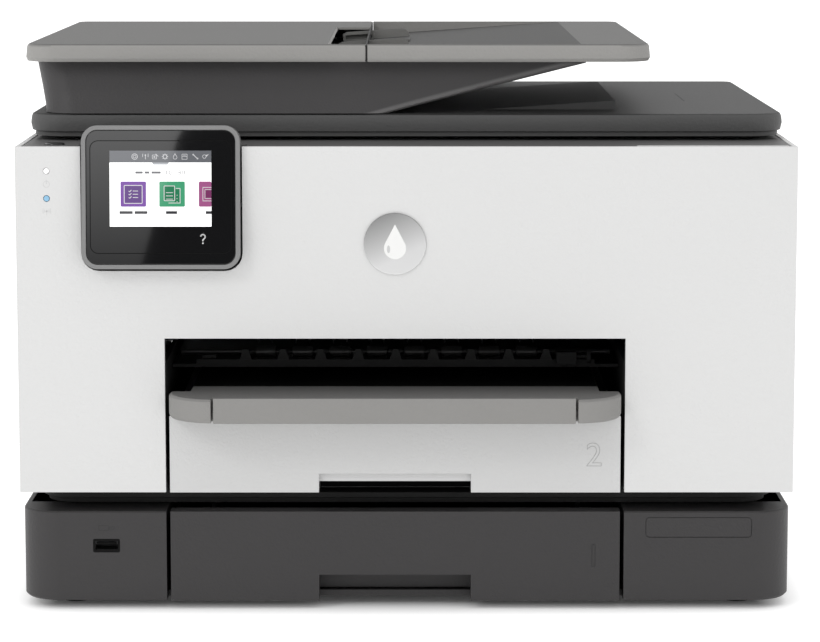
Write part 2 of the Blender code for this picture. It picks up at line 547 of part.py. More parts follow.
CARRIAGE_Z = BODY_Z + 76.6
BAY = CARTRIDGE_WIDTH + 0.8
BAY_WALL = 2.6
CARRIAGE_W = 4 * BAY + 5 * BAY_WALL
CARRIAGE_R = RIGHT - 12.0
CARRIAGE_L = CARRIAGE_R - CARRIAGE_W
CARRIAGE_Y0 = FRONT + 85.0
CARRIAGE_Y1 = CARRIAGE_Y0 + CARTRIDGE_DEPTH + 10.0
CARRIAGE_ORIGIN = ((CARRIAGE_L + CARRIAGE_R) / 2, CARRIAGE_Y1, CARRIAGE_Z)
bays = [CARRIAGE_L + BAY_WALL + k * (BAY + BAY_WALL) for k in range(4)]
piece(
    "print_carriage", BLACK,
    box(CARRIAGE_L, CARRIAGE_R, CARRIAGE_Y0, CARRIAGE_Y1, CARRIAGE_Z, CARRIAGE_Z + CARTRIDGE_HEIGHT + 4),
    add=[box(CARRIAGE_L + 20, CARRIAGE_R - 20, CARRIAGE_Y0 + 10, CARRIAGE_Y1 - 20, CARRIAGE_Z - 2.4, CARRIAGE_Z + 1)],
    cut=[box(x, x + BAY, CARRIAGE_Y0 - 2, CARRIAGE_Y1 - 7, CARRIAGE_Z + 6, CARRIAGE_Z + CARTRIDGE_HEIGHT + 20) for x in bays],
    origin=CARRIAGE_ORIGIN,
)
for (colour, look), x in zip((
        ("black", ((0.03, 0.03, 0.03), 0.4)), ("cyan", ((0.0, 0.3, 0.6), 0.4)),
        ("magenta", ((0.6, 0.02, 0.25), 0.4)), ("yellow", ((0.8, 0.65, 0.02), 0.4))), bays):
    x0, y1 = x + 0.4, CARRIAGE_Y1 - 7.6
    y0 = y1 - CARTRIDGE_DEPTH - 6
    piece(
        f"cartridge_{colour}", look,
        prism([
            (y0 + 3, CARRIAGE_Z + 6.5), (y1, CARRIAGE_Z + 6.5), (y1, CARRIAGE_Z + CARTRIDGE_HEIGHT),
            (y0 + 5, CARRIAGE_Z + CARTRIDGE_HEIGHT), (y0, CARRIAGE_Z + CARTRIDGE_HEIGHT - 12), (y0, CARRIAGE_Z + 16),
        ], x0, x0 + CARTRIDGE_WIDTH, 0),
        origin=CARRIAGE_ORIGIN,
    )
RAIL_Y = CARRIAGE_Y1 + GAP
piece(
    "carriage_rail", STEEL,
    prism([
        (RAIL_Y, CARRIAGE_Z + 20), (RAIL_Y + 16, CARRIAGE_Z + 20), (RAIL_Y + 16, CARRIAGE_Z + 22), (RAIL_Y + 2, CARRIAGE_Z + 22),
        (RAIL_Y + 2, CARRIAGE_Z + 50), (RAIL_Y + 16, CARRIAGE_Z + 50), (RAIL_Y + 16, CARRIAGE_Z + 52), (RAIL_Y, CARRIAGE_Z + 52),
    ], LEFT + WALL + 1, RIGHT - WALL - 1, 0),
)
piece(
    "service_station", BLACK,
    box(OPEN_R + 4.5, RIGHT - 12, CARRIAGE_Y0, CARRIAGE_Y1 - 12, NECK_TOP + 40, CARRIAGE_Z - 3.2),
    cut=[box(OPEN_R + 12, RIGHT - 20, CARRIAGE_Y0 + 10, CARRIAGE_Y1 - 22, CARRIAGE_Z - 8, CARRIAGE_Z + 2)],
)

# ---------------------------------------------------------------- lid
LID_L, LID_R = LEFT + 1.8, RIGHT - 1.8
HINGE_Y, HINGE_Z = REAR - 6.0, DECK_TOP + 6.9
LID_HINGE = (0, HINGE_Y, HINGE_Z)
hinge_x = (LEFT + 42.5, RIGHT - 68.5)
RAMP_R = FEEDER_RIGHT - 18.5
r_lid = (22, 22, 8, 8)
piece(
    "lid", LIDGREY,
    stack([
        (RING_Z, LID_L + 2.6, LID_R - 2.6, LID_FRONT + 2.6, LID_REAR - 2, (19.4, 19.4, 6, 6)),
        (LID_Z - 0.6, LID_L + 2.6, LID_R - 2.6, LID_FRONT + 2.6, LID_REAR - 2, (19.4, 19.4, 6, 6)),
        (LID_Z, LID_L + 0.9, LID_R - 0.9, LID_FRONT + 0.9, LID_REAR - 0.5, (21, 21, 8, 8)),
        (LID_Z + 4, LID_L, LID_R, LID_FRONT, LID_REAR, r_lid),
        (LID_TOP - 2.2, LID_L + 0.4, LID_R - 0.4, LID_FRONT + 0.4, LID_REAR, r_lid),
        (LID_TOP - 0.7, LID_L + 1.1, LID_R - 1.1, LID_FRONT + 1.1, LID_REAR - 0.6, (21, 21, 7.5, 7.5)),
        (LID_TOP, LID_L + 2.4, LID_R - 2.4, LID_FRONT + 2.4, LID_REAR - 1.5, (20, 20, 7, 7)),
    ]),
    add=[
        prism([(RAMP_R - 78, LID_TOP - 2), (RAMP_R, LID_TOP - 2), (RAMP_R, LID_TOP + 5.2), (RAMP_R - 78, LID_TOP + 0.05)],
              LID_FRONT + 38, LID_FRONT + (LID_REAR - LID_FRONT) * 0.72, 1),
    ],
    cut=[
        box(STRIP_L - 1, GLASS_R + 3, GLASS_Y0 - 5, GLASS_Y1 + 5, RING_Z - 1, RING_Z + 1.5),
    ] + [box(x - 1.5, x + 27.5, REAR - 17, REAR + 2, RING_Z - 1, LID_TOP - 2.8) for x in hinge_x],
    origin=LID_HINGE,
)
piece("lid_foam", ((0.82, 0.82, 0.82), 0.9),
      box(STRIP_L - 0.4, GLASS_R + 2.4, GLASS_Y0 - 4.4, GLASS_Y1 + 4.4, DECK_TOP + 0.5, RING_Z + 1.2), origin=LID_HINGE)
for side, x in zip(("left", "right"), hinge_x):
    piece(
        f"lid_hinge_{side}", DARK,
        turned([(x, 4.0), (x + 26, 4.0)], LID_HINGE, 0, 16),
        add=[box(x + 2, x + 24, HINGE_Y - 4, HINGE_Y + 2.5, DECK_TOP + GAP, HINGE_Z)],
    )

# ---------------------------------------------------------------- sheet feeder
BODY_F_TOP = LID_FRONT + 11.0
BODY_F_LOW = LID_FRONT + 1.0
FZ0, FZ1 = LID_TOP + GAP, SHELL_Z - GAP
SEAM_L, SEAM_R = FEEDER_SEAM - 0.5, FEEDER_SEAM + 0.5
FEED_CY = (LID_FRONT + LID_REAR) / 2 - 3.5
MOUTH_L = FEEDER_SEAM - 22.0
SHEET_HALF = (LID_REAR - LID_FRONT) / 2 - 45.25
TRANSPORT_R = min(FEEDER_HEIGHT - 18.7, 12.5)
MOUTH_Y0, MOUTH_Y1 = LID_FRONT + 3.5, LID_REAR - 7.0
LEDGE_Y = FEED_CY + SHEET_HALF - 39.5
WEDGE_R = FEEDER_RIGHT - 37.0
WEDGE_L = SEAM_R + 12.0
slope = (WEDGE_R - WEDGE_L) / (FZ1 - 1.0 - FZ0)
sharp = 0.012
piece(
    "feeder_body", LIDGREY,
    stack([
        (FZ0, LEFT + 10.8, WEDGE_L, BODY_F_LOW, LID_REAR - 1, (20, sharp, 1, 8)),
        (FZ0 + 5, LEFT + 10.2, WEDGE_L + slope * 5, BODY_F_LOW + 3.5, LID_REAR - 1, (19, sharp, 1, 8)),
        (FZ0 + 14, LEFT + 8.4, WEDGE_L + slope * 14, BODY_F_LOW + 7.6, LID_REAR - 1, (18, sharp, 1, 8)),
        (FZ1 - 1.0, LEFT + 5.7, WEDGE_R, BODY_F_TOP - 0.2, LID_REAR - 1, (17, sharp, 1, 8)),
        (FZ1, LEFT + 5.5, WEDGE_R, BODY_F_TOP, LID_REAR - 1, (17, sharp, 1, 8)),
    ]),
    cut=[
        box(LEFT + 22, FEEDER_SEAM - 22, FEED_CY - SHEET_HALF + 8, FEED_CY + SHEET_HALF - 8, FZ0 + 11.4, FZ1 + 5),
        box(FEEDER_SEAM - 40, FEEDER_SEAM + 5, FEED_CY - SHEET_HALF - 7, FEED_CY + SHEET_HALF + 7, FZ0 + 2.4, FZ0 + 8.9),
        box(FEEDER_SEAM - 24, FEEDER_SEAM + 3, FEED_CY - SHEET_HALF, FEED_CY + SHEET_HALF, FZ1 - 9.5, FZ1 + 5),
        prism([(SEAM_R - 6, FZ0 - 5), (WEDGE_R + 5, FZ0 - 5), (WEDGE_R + 5, FZ1 - 3.4), (SEAM_R + 66, FZ1 - 3.4),
               (SEAM_R + 34, FZ1 - 11.5), (SEAM_R - 6, FZ0 + 9)],
              FEED_CY - SHEET_HALF - 7, FEED_CY + SHEET_HALF + 7, 1),
    ],
    origin=LID_HINGE,
)
COVER_HINGE = (LEFT + 3.5, 0, SHELL_Z + 1.5)
r_shell = (18, 0.4, 0.4, 8)
piece(
    "feeder_cover", PALE,
    stack([
        (SHELL_Z, LEFT + 0.8, SEAM_L, LID_FRONT + 0.6, LID_REAR, r_shell),
        (SHELL_Z + 2, LEFT, SEAM_L, LID_FRONT - 0.5, LID_REAR, r_shell),
        (SHELL_TOP - 1.6, LEFT + 0.6, SEAM_L, LID_FRONT - 0.2, LID_REAR, r_shell),
        (SHELL_TOP - 0.5, LEFT + 1.2, SEAM_L, LID_FRONT + 0.5, LID_REAR - 0.5, r_shell),
        (SHELL_TOP, LEFT + 2.2, SEAM_L, LID_FRONT + 1.5, LID_REAR - 1.2, (17, 0.4, 0.4, 8)),
    ]),
    cut=[
        stack([(SHELL_Z - 2, LEFT + 3.2, MOUTH_L - 3, LID_FRONT + 3, LID_REAR - 3, (15, 0.4, 0.4, 5)),
               (SHELL_TOP - 2.2, LEFT + 3.2, MOUTH_L - 3, LID_FRONT + 3, LID_REAR - 3, (15, 0.4, 0.4, 5))]),
        box(MOUTH_L - 5, FEEDER_SEAM + 2, FEED_CY - SHEET_HALF, LID_REAR - 10, SHELL_Z - 1, SHELL_Z + 8.4),
        prism([(MOUTH_L, SHELL_TOP + 0.01), (MOUTH_L + 3.8, SHELL_Z + 3.6), (MOUTH_L + 3.8, SHELL_Z - 2),
               (FEEDER_SEAM + 2, SHELL_Z - 2), (FEEDER_SEAM + 2, SHELL_TOP + 9), (MOUTH_L, SHELL_TOP + 9)],
              MOUTH_Y0, LEDGE_Y, 1),
    ],
    origin=COVER_HINGE,
)
INPUT_HINGE = (SEAM_R, 0, SHELL_TOP)
TF = SHELL_Z + 1.6
TRAY_SLOPE_X = FEEDER_RIGHT - 38.0
piece(
    "input_tray", PALE,
    stack([
        (SHELL_Z, SEAM_R, FEEDER_RIGHT - 1, LID_FRONT + 0.6, LID_REAR, (0.4, 18, 8, 0.4)),
        (SHELL_Z + 2, SEAM_R, FEEDER_RIGHT, LID_FRONT - 0.5, LID_REAR, (0.4, 18, 8, 0.4)),
        (SHELL_TOP - 1.6, SEAM_R, FEEDER_RIGHT - 0.6, LID_FRONT - 0.2, LID_REAR, (0.4, 18, 8, 0.4)),
        (SHELL_TOP - 0.5, SEAM_R, FEEDER_RIGHT - 1.2, LID_FRONT + 0.5, LID_REAR - 0.5, (0.4, 18, 8, 0.4)),
        (SHELL_TOP, SEAM_R, FEEDER_RIGHT - 2.2, LID_FRONT + 1.5, LID_REAR - 1.2, (0.4, 17, 8, 0.4)),
    ]),
    cut=[
        prism([(SEAM_R - 5, TF), (SEAM_R, TF), (TRAY_SLOPE_X, SHELL_TOP + 0.01), (TRAY_SLOPE_X, SHELL_TOP + 9),
               (SEAM_R - 5, SHELL_TOP + 9)], MOUTH_Y0, MOUTH_Y1, 1),
    ],
    origin=INPUT_HINGE,
)
# The guides follow the slope of the tray floor: a thin plate, a rounded loop on its inner face over the seam, and a
# flat foot that lies on the floor.
rise = (SHELL_TOP - TF) / (TRAY_SLOPE_X - SEAM_R)
GUIDE_L, GUIDE_R = MOUTH_L + 4.6 - SEAM_R, 24.3
GUIDE_HALF = SHEET_HALF - 45.5
GUIDE_FOOT = min(42.0, GUIDE_HALF - 10.0)
tilt = Matrix.Translation((SEAM_R, 0, TF)) @ Matrix.Rotation(-math.atan(rise), 4, "Y")
for side, sign in (("front", -1), ("rear", 1)):
    face = FEED_CY + sign * GUIDE_HALF
    sheet = plan(GUIDE_L + 1.5, GUIDE_R, 0.4, 6.6, (0.5, 0.5, 5.0, 0.5), 6)
    loop = plan(GUIDE_L, 2.2, 0.7, 5.9, (0.5, 2.4, 2.4, 0.5), 5)
    hollow = plan(GUIDE_L + 1.6, 0.9, 2.0, 4.6, (0.4, 1.2, 1.2, 0.4), 4)
    foot = plan(1.6, GUIDE_R, *sorted((face - sign * GUIDE_FOOT, face + sign * 1.0)), (0.5, 4, 4, 0.5), 5)
    piece(
        f"feeder_guide_{side}", PALE,
        moved(prism(sheet, *sorted((face, face + sign * 1.8)), 1), tilt),
        add=[
            moved(prism(loop, *sorted((face - sign * 2.6, face + sign * 0.5)), 1), tilt),
            moved(prism(foot, 0.4, 1.5, 2), tilt),
        ],
        cut=[moved(prism(hollow, *sorted((face - sign * 5, face + sign * 0.01)), 1), tilt)],
        origin=(SEAM_R, face, TF),
    )
PICK_AXIS = (FEEDER_SEAM - 43.0, 0, FZ1 - 3.4)
TRANSPORT_AXIS = (FEEDER_SEAM - 97.0, 0, FZ1 - 5.4)
piece("feeder_pick_roller", RUBBER,
      turned([(FEED_CY - 40, 2.5), (FEED_CY - 20, 2.5), (FEED_CY - 19.99, 8.0), (FEED_CY + 19.99, 8.0), (FEED_CY + 20, 2.5),
              (FEED_CY + 40, 2.5)], PICK_AXIS, 1, 20), origin=(PICK_AXIS[0], FEED_CY, PICK_AXIS[2]))
transport = [(FEED_CY - SHEET_HALF + 10, 3.0)]
for share in (-0.65, -0.22, 0.22, 0.65):
    y = FEED_CY + SHEET_HALF * share
    transport += [(y - 12.01, 3.0), (y - 12, TRANSPORT_R), (y + 12, TRANSPORT_R), (y + 12.01, 3.0)]
transport.append((FEED_CY + SHEET_HALF - 10, 3.0))
piece("feeder_transport_roller", RUBBER, turned(transport, TRANSPORT_AXIS, 1, 20),
      origin=(TRANSPORT_AXIS[0], FEED_CY, TRANSPORT_AXIS[2]))
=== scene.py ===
# %% [markdown]
# # All-in-one inkjet printer
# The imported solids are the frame: every visible piece here is either one of those solids with its edges
# rounded, or a finer piece built from the boxes of the solids, and each one rides on a body of the frame.
# Sizes are metres in the row frame: X to the right, -Y towards the user, Z up.

# %% Start
import json
import math

import bmesh
import bpy
from mathutils import Matrix, Vector


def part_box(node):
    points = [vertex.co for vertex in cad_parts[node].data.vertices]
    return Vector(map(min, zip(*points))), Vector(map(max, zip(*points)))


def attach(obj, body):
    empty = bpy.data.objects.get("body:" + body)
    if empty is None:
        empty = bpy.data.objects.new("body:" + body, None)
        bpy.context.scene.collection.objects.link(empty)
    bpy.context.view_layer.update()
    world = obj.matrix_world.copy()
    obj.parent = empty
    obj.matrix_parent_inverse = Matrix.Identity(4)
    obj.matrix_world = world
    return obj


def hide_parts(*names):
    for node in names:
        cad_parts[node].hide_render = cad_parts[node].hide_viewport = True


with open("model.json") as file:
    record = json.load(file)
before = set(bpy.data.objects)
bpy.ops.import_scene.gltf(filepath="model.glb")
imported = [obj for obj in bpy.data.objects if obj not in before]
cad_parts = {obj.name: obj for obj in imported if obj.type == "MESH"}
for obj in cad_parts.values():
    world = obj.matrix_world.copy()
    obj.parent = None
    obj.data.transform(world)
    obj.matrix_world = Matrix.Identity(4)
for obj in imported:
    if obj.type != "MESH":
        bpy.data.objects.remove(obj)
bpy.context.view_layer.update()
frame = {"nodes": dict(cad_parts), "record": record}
scene = bpy.context.scene
MM = 0.001

# %% [markdown]
# ## Shared shader effects
# Two node groups: a leather-like moulding grain, and a soft mottling of colour with painted shade on
# surfaces that face up, which take their own colour for how light falls on them. Both read Object
# coordinates, so the pattern stays on a piece when it moves.

# %% Node group helpers
def group(name, inputs, outputs):
    tree = bpy.data.node_groups.new(name, "ShaderNodeTree")
    for label, kind, value in inputs:
        socket = tree.interface.new_socket(label, in_out="INPUT", socket_type=kind)
        if value is not None:
            socket.default_value = value
    for label, kind in outputs:
        tree.interface.new_socket(label, in_out="OUTPUT", socket_type=kind)
    return tree, tree.nodes.new("NodeGroupInput"), tree.nodes.new("NodeGroupOutput")


def node(tree, kind, **values):
    made = tree.nodes.new(kind)
    for key, value in values.items():
        if key.startswith("in_"):
            made.inputs[key[3:].replace("_", " ")].default_value = value
        else:
            setattr(made, key, value)
    return made


def wire(tree, start, end):
    tree.links.new(start, end)


# %% Moulding grain
grain, gi, go = group(
    "MouldingGrain",
    [("Scale", "NodeSocketFloat", 900.0), ("Strength", "NodeSocketFloat", 0.35),
        ("Depth", "NodeSocketFloat", 0.00006)],
    [("Normal", "NodeSocketVector"), ("Height", "NodeSocketFloat")],
)
place = node(grain, "ShaderNodeTexCoord")
warp = node(grain, "ShaderNodeTexNoise", in_Scale=420.0, in_Detail=2.0)
shift = node(grain, "ShaderNodeMixRGB", blend_type="ADD", in_Fac=0.0012)
cells = node(grain, "ShaderNodeTexVoronoi", feature="SMOOTH_F1", in_Smoothness=0.6)
fine = node(grain, "ShaderNodeTexNoise", in_Detail=3.0)
twice = node(grain, "ShaderNodeMath", operation="MULTIPLY")
twice.inputs[1].default_value = 1.7
mix = node(grain, "ShaderNodeMath", operation="MULTIPLY_ADD")
mix.inputs[1].default_value = 0.8
bump = node(grain, "ShaderNodeBump")
wire(grain, place.outputs["Object"], warp.inputs["Vector"])
wire(grain, place.outputs["Object"], shift.inputs["Color1"])
wire(grain, warp.outputs["Color"], shift.inputs["Color2"])
wire(grain, shift.outputs["Color"], cells.inputs["Vector"])
wire(grain, place.outputs["Object"], fine.inputs["Vector"])
wire(grain, gi.outputs["Scale"], cells.inputs["Scale"])
wire(grain, gi.outputs["Scale"], twice.inputs[0])
wire(grain, twice.outputs[0], fine.inputs["Scale"])
wire(grain, cells.outputs["Distance"], mix.inputs[0])
wire(grain, fine.outputs["Fac"], mix.inputs[2])
wire(grain, mix.outputs[0], bump.inputs["Height"])
wire(grain, gi.outputs["Strength"], bump.inputs["Strength"])
wire(grain, gi.outputs["Depth"], bump.inputs["Distance"])
wire(grain, bump.outputs["Normal"], go.inputs["Normal"])
wire(grain, mix.outputs[0], go.inputs["Height"])
print("group", grain.name)

# %% Mottled colour and painted top shade
mottle_top_shade, gi, go = group(
    "MottleAndTopShade",
    [("Colour", "NodeSocketColor", (0.5, 0.5, 0.5, 1.0)), ("Top", "NodeSocketColor", (0.5, 0.5, 0.5, 1.0)),
     ("Amount", "NodeSocketFloat", 0.06), ("Scale", "NodeSocketFloat", 14.0)],
    [("Colour", "NodeSocketColor")],
)
place = node(mottle_top_shade, "ShaderNodeTexCoord")
broad = node(mottle_top_shade, "ShaderNodeTexNoise", in_Detail=4.0, in_Roughness=0.6)
centred = node(mottle_top_shade, "ShaderNodeMath", operation="SUBTRACT")
centred.inputs[1].default_value = 0.5
scaled = node(mottle_top_shade, "ShaderNodeMath", operation="MULTIPLY_ADD")
scaled.inputs[2].default_value = 1.0
split = node(mottle_top_shade, "ShaderNodeSeparateXYZ")
# Painted shade: faces whose normal points up are mixed towards the top colour, which is set darker than the
# sides for how light falls on tops.
painted_light_facing = node(mottle_top_shade, "ShaderNodeMapRange", in_From_Min=0.55, in_From_Max=0.95)
painted_light_blend = node(mottle_top_shade, "ShaderNodeMixRGB")
shade = node(mottle_top_shade, "ShaderNodeVectorMath", operation="SCALE")
wire(mottle_top_shade, place.outputs["Object"], broad.inputs["Vector"])
wire(mottle_top_shade, gi.outputs["Scale"], broad.inputs["Scale"])
wire(mottle_top_shade, broad.outputs["Fac"], centred.inputs[0])
wire(mottle_top_shade, centred.outputs[0], scaled.inputs[0])
wire(mottle_top_shade, gi.outputs["Amount"], scaled.inputs[1])
wire(mottle_top_shade, place.outputs["Normal"], split.inputs[0])
wire(mottle_top_shade, split.outputs["Z"], painted_light_facing.inputs["Value"])
wire(mottle_top_shade, painted_light_facing.outputs["Result"], painted_light_blend.inputs["Fac"])
wire(mottle_top_shade, gi.outputs["Colour"], painted_light_blend.inputs["Color1"])
wire(mottle_top_shade, gi.outputs["Top"], painted_light_blend.inputs["Color2"])
wire(mottle_top_shade, painted_light_blend.outputs["Color"], shade.inputs[0])
wire(mottle_top_shade, scaled.outputs[0], shade.inputs["Scale"])
wire(mottle_top_shade, shade.outputs[0], go.inputs["Colour"])
print("group", mottle_top_shade.name)


# %% Materials
def material(name, colour, rough, top=None, grain_scale=900.0, grain_strength=0.35, metallic=0.0,
    amount=0.06,
             specular=0.5, coat=0.0, emission=None, depth=0.0002, mottle_scale=14.0):
    made = bpy.data.materials.new(name)
    made.use_nodes = True
    tree = made.node_tree
    shader = tree.nodes["Principled BSDF"]
    colours = node(tree, "ShaderNodeGroup", node_tree=mottle_top_shade)
    colours.inputs["Colour"].default_value = (*colour, 1.0)
    # The top colour is painted shade: up-facing faces take it instead of the plain colour.
    colours.inputs["Top"].default_value = (*(top or colour), 1.0)
    colours.inputs["Amount"].default_value = amount
    colours.inputs["Scale"].default_value = mottle_scale
    wire(tree, colours.outputs["Colour"], shader.inputs["Base Color"])
    if grain_strength:
        bumps = node(tree, "ShaderNodeGroup", node_tree=grain)
        bumps.inputs["Scale"].default_value = grain_scale
        bumps.inputs["Strength"].default_value = grain_strength
        bumps.inputs["Depth"].default_value = depth
        wire(tree, bumps.outputs["Normal"], shader.inputs["Normal"])
    shader.inputs["Roughness"].default_value = rough
    shader.inputs["Metallic"].default_value = metallic
    shader.inputs["Specular IOR Level"].default_value = specular
    shader.inputs["Coat Weight"].default_value = coat
    shader.inputs["Coat Roughness"].default_value = 0.05
    if emission:
        wire(tree, colours.outputs["Colour"], shader.inputs["Emission Color"])
        shader.inputs["Emission Strength"].default_value = emission
    return made


def clear_glass(name, tint):
    made = material(name, tint, 0.02, grain_strength=0.0, amount=0.02)
    shader = made.node_tree.nodes["Principled BSDF"]
    shader.inputs["Transmission Weight"].default_value = 0.9
    shader.inputs["Alpha"].default_value = 0.45
    return made


LOOKS = {
    "white_shell": material("WhiteShell", (0.615, 0.615, 0.612), 0.55, amount=0.02, grain_scale=520,
        grain_strength=0.6, specular=0.35),
    "dark_shell": material("DarkShell", (0.0335, 0.0318, 0.0325), 0.5, grain_scale=520,
        grain_strength=0.6, specular=0.35),
    # The top colours of the lid grey and the pale grey are painted shade on their up-facing faces.
    "lid_grey": material("LidGreyTopShade", (0.058, 0.058, 0.058), 0.55, top=(0.03, 0.03, 0.03), grain_scale=520,
        grain_strength=0.7, specular=0.32),
    "pale_grey": material("PaleGreyTopShade", (0.275, 0.27, 0.26), 0.55, top=(0.1, 0.099, 0.096), grain_scale=520,
        grain_strength=0.7, specular=0.3),
    "inner_black": material("InnerBlack", (0.008, 0.008, 0.008), 0.5, grain_strength=0.2, amount=0.15,
        specular=0.3),
    "guide_grey": material("GuideGrey", (0.1, 0.1, 0.1), 0.45, grain_strength=0.2, specular=0.4),
    "bezel": material("Bezel", (0.2, 0.2, 0.2), 0.35, grain_strength=0.05),
    "black_gloss": material("BlackGloss", (0.003, 0.003, 0.0035), 0.03, grain_strength=0.0, coat=0.3),
    "glass": clear_glass("BedGlass", (0.62, 0.72, 0.7)),
    "steel": material("Steel", (0.55, 0.55, 0.56), 0.3, grain_scale=300.0, grain_strength=0.05,
        metallic=1.0),
    "badge_metal": material("BadgeMetalPaintedReflection", (0.6, 0.6, 0.6), 0.3, grain_strength=0.0, metallic=0.85),
    "rubber": material("Rubber", (0.018, 0.018, 0.018), 0.8, grain_scale=1500.0, grain_strength=0.3,
        amount=0.2, specular=0.3),
    "foam": material("Foam", (0.78, 0.78, 0.77), 0.9, grain_scale=1300.0, grain_strength=0.6, amount=0.03),
    "lens": material("Lens", (0.8, 0.9, 1.0), 0.15, grain_strength=0.0, emission=0.3),
    "ink_black": material("InkBlack", (0.02, 0.02, 0.022), 0.35, grain_strength=0.1),
    "ink_cyan": material("InkCyan", (0.02, 0.28, 0.55), 0.35, grain_strength=0.1),
    "ink_magenta": material("InkMagenta", (0.55, 0.03, 0.24), 0.35, grain_strength=0.1),
    "ink_yellow": material("InkYellow", (0.78, 0.58, 0.03), 0.35, grain_strength=0.1),
}
EXTRA = {
    # A lighter copy of the lid grey for the lid alone: painted light on its front, with painted shade on its
    # top.
    "lid_grey_lit": material("LidGreyLitTopShade", (0.083, 0.083, 0.083), 0.55, top=(0.04, 0.04, 0.04),
        grain_scale=520, grain_strength=0.7, specular=0.2),
    # A lighter grey for the scanner deck: painted light that lifts it out of the lid's shadow.
    "deck_grey_lit": material("DeckGreyLit", (0.11, 0.108, 0.108), 0.5, grain_scale=520, grain_strength=0.6,
        specular=0.4),
    # A copy of the pale grey for the output tray and its extension, with its own painted shade on the top.
    "tray_grey": material("TrayGreyTopShade", (0.232, 0.228, 0.22), 0.55, top=(0.15, 0.148, 0.145),
        grain_scale=520, grain_strength=0.7, specular=0.3),
    # Painted shade: up-facing faces of the feeder guides and the feeder liner take the much darker top
    # colour.
    "guide_pale": material("GuidePaleTopShade", (0.2, 0.198, 0.19), 0.55, top=(0.046, 0.046, 0.045),
        grain_scale=520, grain_strength=0.6, specular=0.15),
    "body_dark_ridge_highlight": material("BodyDarkRidgeHighlight", (0.045, 0.043, 0.044), 0.5, grain_scale=520, grain_strength=0.6,
        specular=0.35),
    # A darker copy of the white shell for tray 2: painted shade for the output tray's shadow on its front.
    "tray_white_shaded": material("TrayWhiteShaded", (0.54, 0.54, 0.538), 0.55, amount=0.02, grain_scale=520,
        grain_strength=0.6, specular=0.3),
    # A lighter copy of the inner black for the engine base: painted light on its walls inside the front
    # opening.
    "inner_wall_lit": material("InnerWallLit", (0.022, 0.022, 0.022), 0.6, grain_scale=520, grain_strength=0.5,
        specular=0.3),
    "satin_black": material("SatinBlack", (0.02, 0.02, 0.02), 0.3, grain_strength=0.1, specular=0.6),
    "dark_metal": material("DarkMetal", (0.03, 0.03, 0.03), 0.35, grain_strength=0.0, metallic=0.6),
    "deep": material("DeepBlack", (0.003, 0.003, 0.003), 0.6, grain_strength=0.1, specular=0.1),
    "belt": material("Belt", (0.014, 0.014, 0.014), 0.7, grain_scale=2000, grain_strength=0.5),
    "strip": material("EncoderStrip", (0.5, 0.5, 0.52), 0.25, grain_strength=0.0, specular=0.6),
    "gear": material("Gear", (0.62, 0.62, 0.6), 0.4, grain_strength=0.1),
    "label": material("BlankLabel", (0.75, 0.75, 0.74), 0.4, grain_strength=0.05),
    "seam": material("Seam", (0.012, 0.012, 0.012), 0.6, grain_strength=0.0, specular=0.2),
    "lamp": material("ScanLamp", (0.75, 0.85, 0.8), 0.2, grain_strength=0.0, emission=0.15),
    "print_grey": material("PrintGrey", (0.52, 0.52, 0.52), 0.5, grain_strength=0.0),
    # The relief colour for the tray number 2 is painted shade: its raised outline is coloured darker than
    # the white tray.
    "relief_shade": material("ReliefShadeLine", (0.32, 0.32, 0.32), 0.5, grain_strength=0.0),
    "relief_dark": material("ReliefDark", (0.012, 0.012, 0.012), 0.5, grain_strength=0.0),
    "led_white": material("LedWhite", (0.85, 0.85, 0.85), 0.2, grain_strength=0.0, emission=0.3),
    "led_blue": material("LedBlue", (0.21, 0.4, 0.56), 0.2, grain_strength=0.0, emission=0.2),
}

# Painted highlight: faces of the feeder body that turn towards the user and a little to the right, such as
# its rounded slope edge, are mixed towards the lighter grey in Color2.
tree = EXTRA["body_dark_ridge_highlight"].node_tree
shader = tree.nodes["Principled BSDF"]
plain = shader.inputs["Base Color"].links[0].from_socket
painted_light_facing = node(tree, "ShaderNodeTexCoord")
parts = node(tree, "ShaderNodeSeparateXYZ")
ridge_side_mask = node(tree, "ShaderNodeMapRange", in_From_Min=0.02, in_From_Max=0.12)
ridge_front_mask = node(tree, "ShaderNodeMapRange", in_From_Min=-0.1, in_From_Max=-0.4)
painted_light_blend = node(tree, "ShaderNodeMath", operation="MULTIPLY")
edge = node(tree, "ShaderNodeMixRGB")
edge.inputs["Color2"].default_value = (0.13, 0.127, 0.127, 1.0)
wire(tree, painted_light_facing.outputs["Normal"], parts.inputs[0])
wire(tree, parts.outputs["X"], ridge_side_mask.inputs["Value"])
wire(tree, parts.outputs["Y"], ridge_front_mask.inputs["Value"])
wire(tree, ridge_side_mask.outputs["Result"], painted_light_blend.inputs[0])
wire(tree, ridge_front_mask.outputs["Result"], painted_light_blend.inputs[1])
wire(tree, painted_light_blend.outputs[0], edge.inputs["Fac"])
wire(tree, plain, edge.inputs["Color1"])
wire(tree, edge.outputs["Color"], shader.inputs["Base Color"])

